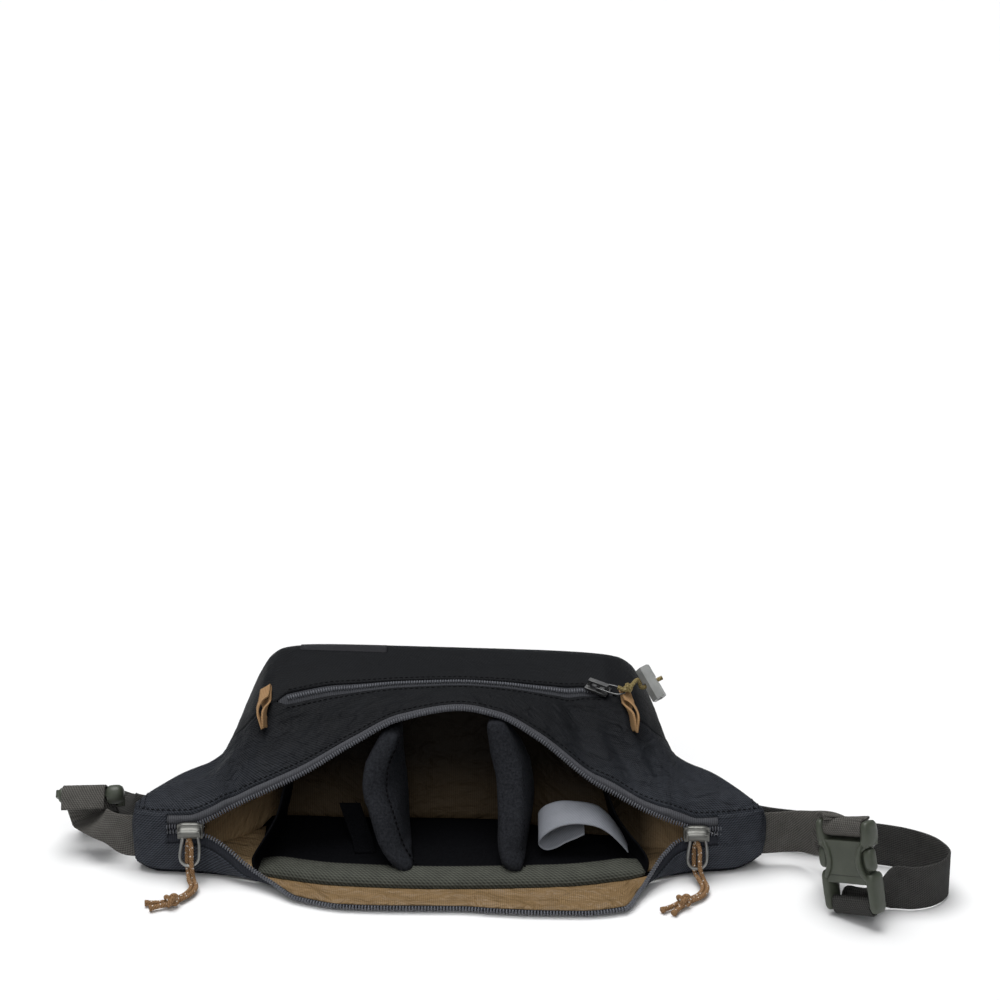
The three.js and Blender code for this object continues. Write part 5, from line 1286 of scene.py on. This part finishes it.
# Front pocket's zip: closed grey coil zip along the seam between the two front panels.
# The tape lies just under the panels' edges; the pewter slider stands at its right end.
# distance from the seam, rise above the panel
POCKET_TAPE = [(-6.2, -1.6), (-4.6, -0.8), (-2.4, -0.6), (0, -0.4), (2.4, -0.6), (4.6, -0.8), (6.2, -1.6)]
pocket_x = np.linspace(-97, 96, 104)
tape_s, tape_rise = np.array(POCKET_TAPE).T
pocket_tape_grid = raised(np.array([front_row(x, seam_distance(x) + tape_s) for x in pocket_x]), tape_rise)
pocket_grey = cloth("pocket_tape_grey", (0.018, 0.019, 0.022), (0.060, 0.062, 0.070), 0.9, 0.0, 0.2, 0.7)
pocket_tape = grid_piece("pocket_tape", pocket_tape_grid, pocket_grey, 0.8)
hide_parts("pocket_zip")
pocket_coil = line_on(front_row, pocket_x[3:-3], seam_distance, 0.3)
sewn_row("pocket_coil", [pocket_coil], 1.5, (1.1, 3.6, 1.8), coil_nylon)

# Pocket pull: wire ring on the slider with a knotted olive cord that runs through a grey toggle.
# The toggle is the CAD piece, moulded in grey plastic with its edges eased.
POCKET_BAR = np.array([87.55, 8.71, 83.32])
RING_ALONG = np.array([0.9, -0.43, -0.08])
RING_ACROSS = np.array([0.44, 0.88, 0.17])
pocket_ring = wire_ring(
    "wire_ring_pocket", POCKET_BAR, RING_ALONG, RING_ACROSS, 2.6, 3.4, 16.5, 1.1, dark_pewter
)
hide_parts("pocket_pull")
cord_olive = braided("olive_cord", (0.130, 0.100, 0.040), (0.300, 0.235, 0.105), (0.40, 0.33, 0.18))
POCKET_CORD = [
    (98.8, 2.9, 84.8), (103.3, 0.8, 84), (110.5, 10.3, 86.5), (113.2, 11.9, 81), (118.5, 14, 83),
    (125.1, 16.6, 85.5),
]
pocket_line = routed(POCKET_CORD, 14)
pocket_cord = swept("olive_pull", tube_loops(pocket_line, 1.2, 12, braid=0.06), cord_olive)
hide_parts("pocket_cord")
KNOT_PLACE, KNOT_WAY = np.array([104.6, 2.6, 84.7]), (0.7, 0.6, 0.2)
pocket_knot = overhand(KNOT_PLACE, KNOT_WAY, 2.2, 1.1, "olive_knot", cord_olive)
toggle_grey = moulding(
    "toggle_plastic", (0.155, 0.160, 0.155), (0.42, 0.425, 0.415), 0.4, grain=260.0, bump=0.2
)
eased("pocket_toggle", 0.5, toggle_grey)

# Side loops: tan ribbon folded into a loop at each top corner of the pocket, ends sewn into the seam.
# Each is one strip bent round a narrow slit, twisting from its ends.
# place on the front, x and y, and turn
SIDE_LOOPS = {"left": (-104, -11, -0.3), "right": (105, -6, 0.57)}
# along the loop from its sewn ends, half the gap between its layers
LOOP_SIDE = [(-15, 0.6), (-10, 1.5), (-5, 2.4), (0, 2.5), (5, 1.6), (10, 0.9), (13, 0.75), (14.4, 0.5)]
LOOP_DEEP, LOOP_RIBBON, LOOP_TWIST = 6.5, 1.1, math.radians(80)
loop_tan = cloth("tan_ribbon", (0.22, 0.125, 0.060), (0.42, 0.26, 0.130), 0.9, 0.0, 0.2, 0.75)


def front_frame(x, s):
    across = np.array([front_row(x + k, [s - 0.5, s, s + 0.5]) for k in (-0.5, 0, 0.5)])
    outward = normals_of(across)[1, 1]
    x_axis = unit(across[2, 1] - across[0, 1])
    return across[1, 1], x_axis, np.cross(outward, x_axis), outward


def strap_loops(line, ways, width, thick):
    tangent = unit(np.gradient(line, axis=0))
    gathered = np.minimum(1, np.linalg.norm(ways, axis=1))
    across = unit(ways - tangent * (ways * tangent).sum(axis=1, keepdims=True))
    normal = np.cross(tangent, across)
    section = [(-1, -0.4), (-0.97, -1), (-0.6, -1), (-0.2, -1), (0.2, -1), (0.6, -1), (0.97, -1), (1, -0.4)]
    section += [(-a, -b) for a, b in section]
    return np.array([
        [line[k] + across[k] * a * gathered[k] * width / 2 + normal[k] * b * thick / 2 for a, b in section]
        for k in range(len(line))
    ])


for side, (loop_x, loop_y, turn) in SIDE_LOOPS.items():
    seat, x_axis, y_axis, outward = front_frame(loop_x, front_distance_at(loop_x, loop_y))
    outline = LOOP_SIDE + [(15, 0)] + [(b, -a) for b, a in reversed(LOOP_SIDE)]
    inner = x_axis if side == "right" else -x_axis
    upward = y_axis * math.cos(turn) - x_axis * math.sin(turn)
    line, ways = [], []
    for b, a, _ in routed([(b, a, 0) for b, a in outline], 8):
        twist = LOOP_TWIST * clipped((b + 9) / 14)
        apart = inner * math.cos(twist) + outward * math.sin(twist)
        sunk = 5 * clipped((-8 - b) / 7) ** 1.5
        line.append(seat + upward * b + apart * a + outward * (LOOP_DEEP / 2 * math.cos(twist) + 1.6 - sunk))
        ways.append(outward * math.cos(twist) - inner * math.sin(twist))
    loops = strap_loops(np.array(line), np.array(ways), LOOP_DEEP, LOOP_RIBBON)
    ribbon = swept(f"ribbon_loop_{side}", loops, loop_tan)
    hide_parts(f"side_loop_{side}")

# Front label: a small black woven label over the far top edge, left bare.
# Sewn flat to the pocket panel round its edge.
WOVEN_LABEL_Y, WOVEN_LABEL_HIGH = 51, 15
label_x = np.linspace(-89, -37, 30)
label_s = np.linspace(0, WOVEN_LABEL_HIGH, 10)
label_rise = np.interp(np.linspace(0, 1, 10), [0, 0.12, 0.88, 1], [0.2, 0.5, 0.5, 0.2])
label_rows = np.array([front_row(x, front_distance_at(x, WOVEN_LABEL_Y) + label_s) for x in label_x])
front_label_grid = raised(label_rows, label_rise)
label_black = cloth("woven_label", (0.008, 0.008, 0.010), (0.034, 0.034, 0.038), 1.4, 0.0, 0.12, 0.6)
front_label = grid_piece("woven_label", front_label_grid, label_black, 0.4)
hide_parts("front_label")

# Straps: grey-brown 25 mm webbing. The belt, coloured darker as painted shade, runs from the buckle's lower
# bar round behind the pack to the left wing's lock; a short strap on each wing is sewn in and folded over
# its fitting's bar.
# Each route is a place and the way that the webbing's width lies there.
WEBBING_WIDE, WEBBING_THICK = 25, 1.4
ACROSS_BUCKLE = (0.70, -0.67, 0.25)
UP = (0, 0, 1)
ACROSS_LOCK = (1, -0.08, 0.06)
BELT_Z = 13.2
BELT_AT_BUCKLE = [
    (219.9, -121.5, 13.8), (218.8, -123, 13), (218.7, -124, 10.7), (219.4, -124.5, 7.2),
    (220.7, -123.9, 5.2), (222.2, -122.6, 4.7), (223.5, -121.1, 4.9), (224.3, -119.6, 6.8),
    (224.5, -118.2, 10.2), (225.8, -115.5, 13.9),
]
BELT_RUN = [
    (256, -110), (269, -104), (277, -90), (272, -73), (258, -61), (232, -51), (204, -39), (184, -33),
    (166, -23), (150, -8), (139, 6), (133, 22), (129, 46), (125, 64.7), (117, 79), (101, 90),
    (65.2, 96.4), (-63.9, 96.4), (-99, 90), (-115, 79), (-123, 65.2), (-127, 46.8), (-133, 22), (-139, 6),
    (-150, -6),
]
BELT_AT_LOCK = [
    (-202.9, -9.1, 10.8), (-203.4, -12.7, 14.3), (-203.8, -15.6, 16.7), (-204, -16.7, 19.5),
    (-204.1, -15.9, 21.7), (-204, -14.1, 23.1), (-203.8, -11, 22.8), (-203.4, -8.1, 20.4),
]
BELT = [
    *((place, ACROSS_BUCKLE) for place in BELT_AT_BUCKLE),
    ((243, -109, BELT_Z), (0.1, 0, 1)),
    *(((x, y, BELT_Z), UP) for x, y in BELT_RUN),
    ((-166, -16, BELT_Z), (0.1, 0, 1)),
    ((-182, -14, 12.5), (0.62, 0, 0.78)),
    ((-195, -3, 11), (0.95, 0, 0.3)),
    *((place, ACROSS_LOCK) for place in BELT_AT_LOCK),
]
RIGHT_AT_BUCKLE = [
    (215, -101, 50), (216, -110.5, 54.9), (213.9, -112.9, 54.6), (213, -114.7, 51.9), (213.4, -115.4, 49),
    (214.9, -114.6, 47), (216.9, -112.7, 46.5), (218.8, -110.6, 46.6), (219.4, -109.4, 48.5),
]
RIGHT_STRAP = [
    ((166, -53, 18.5), UP),
    ((178.2, -52.2, 18.5), UP),
    ((197, -53, 20), (0.03, -0.03, 1)),
    ((208, -66, 25), (0.21, -0.2, 0.96)),
    ((213, -86, 37), (0.59, -0.57, 0.57)),
    *((place, ACROSS_BUCKLE) for place in RIGHT_AT_BUCKLE),
]
LEFT_AT_LOCK = [
    (-205.5, -29.9, 25.5), (-205.6, -28.4, 29.2), (-205.6, -26.9, 31.9), (-205.8, -27, 34.7),
    (-206, -28.9, 36.4), (-206.3, -31.5, 38), (-206.5, -33.9, 37.7), (-206.6, -36.7, 34.7),
    (-206.4, -41.0, 28.0),
]
LEFT_STRAP = [
    ((-164, -54, 18.5), UP),
    ((-179, -54.6, 18.5), UP),
    ((-193, -49, 22), (0.41, -0.03, 0.61)),
    ((-205.1, -30.1, 19.2), (0.83, -0.07, 0.22)),
    *((place, ACROSS_LOCK) for place in LEFT_AT_LOCK),
]
webbing, belt_webbing_painted_shade = (
    cloth(name, dark, light, 0.7, 0.6, 0.3, 0.8, crumple=0.8) for name, dark, light in (
        ("webbing", (0.034, 0.032, 0.029), (0.140, 0.134, 0.123)),
        # painted shade: the belt is the wing straps' webbing coloured darker
        ("belt_webbing_painted_shade", (0.017, 0.0165, 0.0158), (0.068, 0.067, 0.064)),
    )
)
for name, route, node, weave in (
    ("belt_webbing", BELT, "belt_strap", belt_webbing_painted_shade),
    ("right_webbing", RIGHT_STRAP, "wing_strap_right", webbing),
    ("left_webbing", LEFT_STRAP, "wing_strap_left", webbing),
):
    line = routed([place for place, _ in route], 8)
    ways = routed([way for _, way in route], 8)
    strap = swept(name, strap_loops(line, ways, WEBBING_WIDE, WEBBING_THICK), weave)
    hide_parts(node)

# Buckle and lock: olive-green moulded plastic, fastened. The side-release buckle and the left wing's
# ladder lock are the CAD pieces with their edges eased, with rounded rails and bar ends laid over them.
olive_plastic = moulding("olive_plastic", (0.036, 0.042, 0.030), (0.072, 0.081, 0.060), 0.42)
for node, edge in (("buckle_female", 1.7), ("buckle_male", 1.5), ("ladder_lock", 1.2)):
    eased(node, edge, olive_plastic)
# the buckle's rounded rails in its own frame: along it from the top bar, across it, out of its face,
# half width, half depth
BUCKLE_TOP, BUCKLE_FOOT = np.array([216, -112.3, 50.1]), np.array([221.5, -121.5, 9.5])
RAILS = {
    "cap": [
        (-4.6, 14.9, 0, 0.9, 2), (-4.1, 14.9, 0, 2, 4), (-2.6, 14.9, 0, 2.6, 5.2), (0, 14.9, 0, 2.8, 5.7),
        (3, 14.8, 0, 2.9, 5.8), (6, 14.2, 0, 3.3, 5.8), (8, 13.8, 0, 3.2, 5.4), (9.2, 13.6, 0, 2.4, 4),
        (9.6, 13.6, 0, 1, 2),
    ],
    "ridge": [
        (6, 12.8, 4.4, 0.6, 0.7), (8, 11.9, 5, 1.3, 1.3), (11, 10.6, 5.2, 1.5, 1.5),
        (14, 9.9, 5.2, 1.6, 1.6), (17, 9.7, 5.2, 1.6, 1.6), (20, 10.1, 5.2, 1.6, 1.6),
        (23, 11.2, 5.2, 1.6, 1.5), (26, 12.8, 4.8, 1.4, 1.3), (28, 13.8, 4.2, 0.6, 0.7),
    ],
    "prong": [
        (10, 14.6, 1.4, 0.8, 1), (10.4, 14.6, 1.4, 2, 2.4), (11.6, 14.7, 1.6, 2.7, 3.2),
        (14, 14.8, 1.8, 2.9, 3.5), (18, 15, 1.8, 2.9, 3.5), (20.6, 15, 1.6, 2.7, 3.2),
        (21.8, 15, 1.4, 2, 2.4), (22.2, 15, 1.4, 0.8, 1),
    ],
    "foot": [
        (23.4, 14.6, 0, 0.9, 2), (23.9, 14.6, 0, 2.2, 4.2), (25.4, 14.7, 0, 2.8, 5.4),
        (29, 14.8, 0, 2.9, 5.8), (34, 14.9, 0, 2.8, 5.7), (39, 14.9, 0, 2.7, 5.6),
        (43, 14.9, 0, 2.6, 5.2), (45, 14.9, 0, 2, 4), (45.6, 14.9, 0, 0.9, 2),
    ],
}
down = unit(BUCKLE_FOOT - BUCKLE_TOP)
BUCKLE_ASIDE = np.array([0.68, -0.65, 0.3])
aside = unit(BUCKLE_ASIDE - down * BUCKLE_ASIDE.dot(down))
outward = np.cross(down, aside)
rail_a, rail_b = soft_square(28, 0.75)
for name, rows in RAILS.items():
    for side, hand in (("near", 1), ("far", -1)):
        rail_loops = []
        for u, w, n, half_wide, half_deep in routed(rows, 4):
            a, b = w + half_wide * rail_a, n + half_deep * rail_b
            rail_loops.append(BUCKLE_TOP + down * u + aside * hand * a[:, None] + outward * b[:, None])
        rail = swept(f"buckle_{name}_{side}", np.array(rail_loops)[:, ::hand], olive_plastic)
# the lock's bar ends, x and radius, on the slightly tilted line of its bar
LOCK_X, LOCK_Y, LOCK_Z = -206, -31.4, 32.6
BAR_ENDS = {
    "inner": [(-193, 4.4), (-192, 5.2), (-189, 5.5), (-186.4, 5.3), (-184.8, 4.4), (-184, 2.6)],
    "outer": [(-221.6, 2), (-221, 3.6), (-219.8, 4.4), (-218.4, 4.6)],
}
for name, rings in BAR_ENDS.items():
    line = [(x, LOCK_Y - 0.08 * (x - LOCK_X), LOCK_Z + 0.06 * (x - LOCK_X)) for x, _ in rings]
    knob_loops = tube_loops(line, [radius for _, radius in rings], 24)
    knob = swept(f"lock_bar_{name}", knob_loops, olive_plastic)
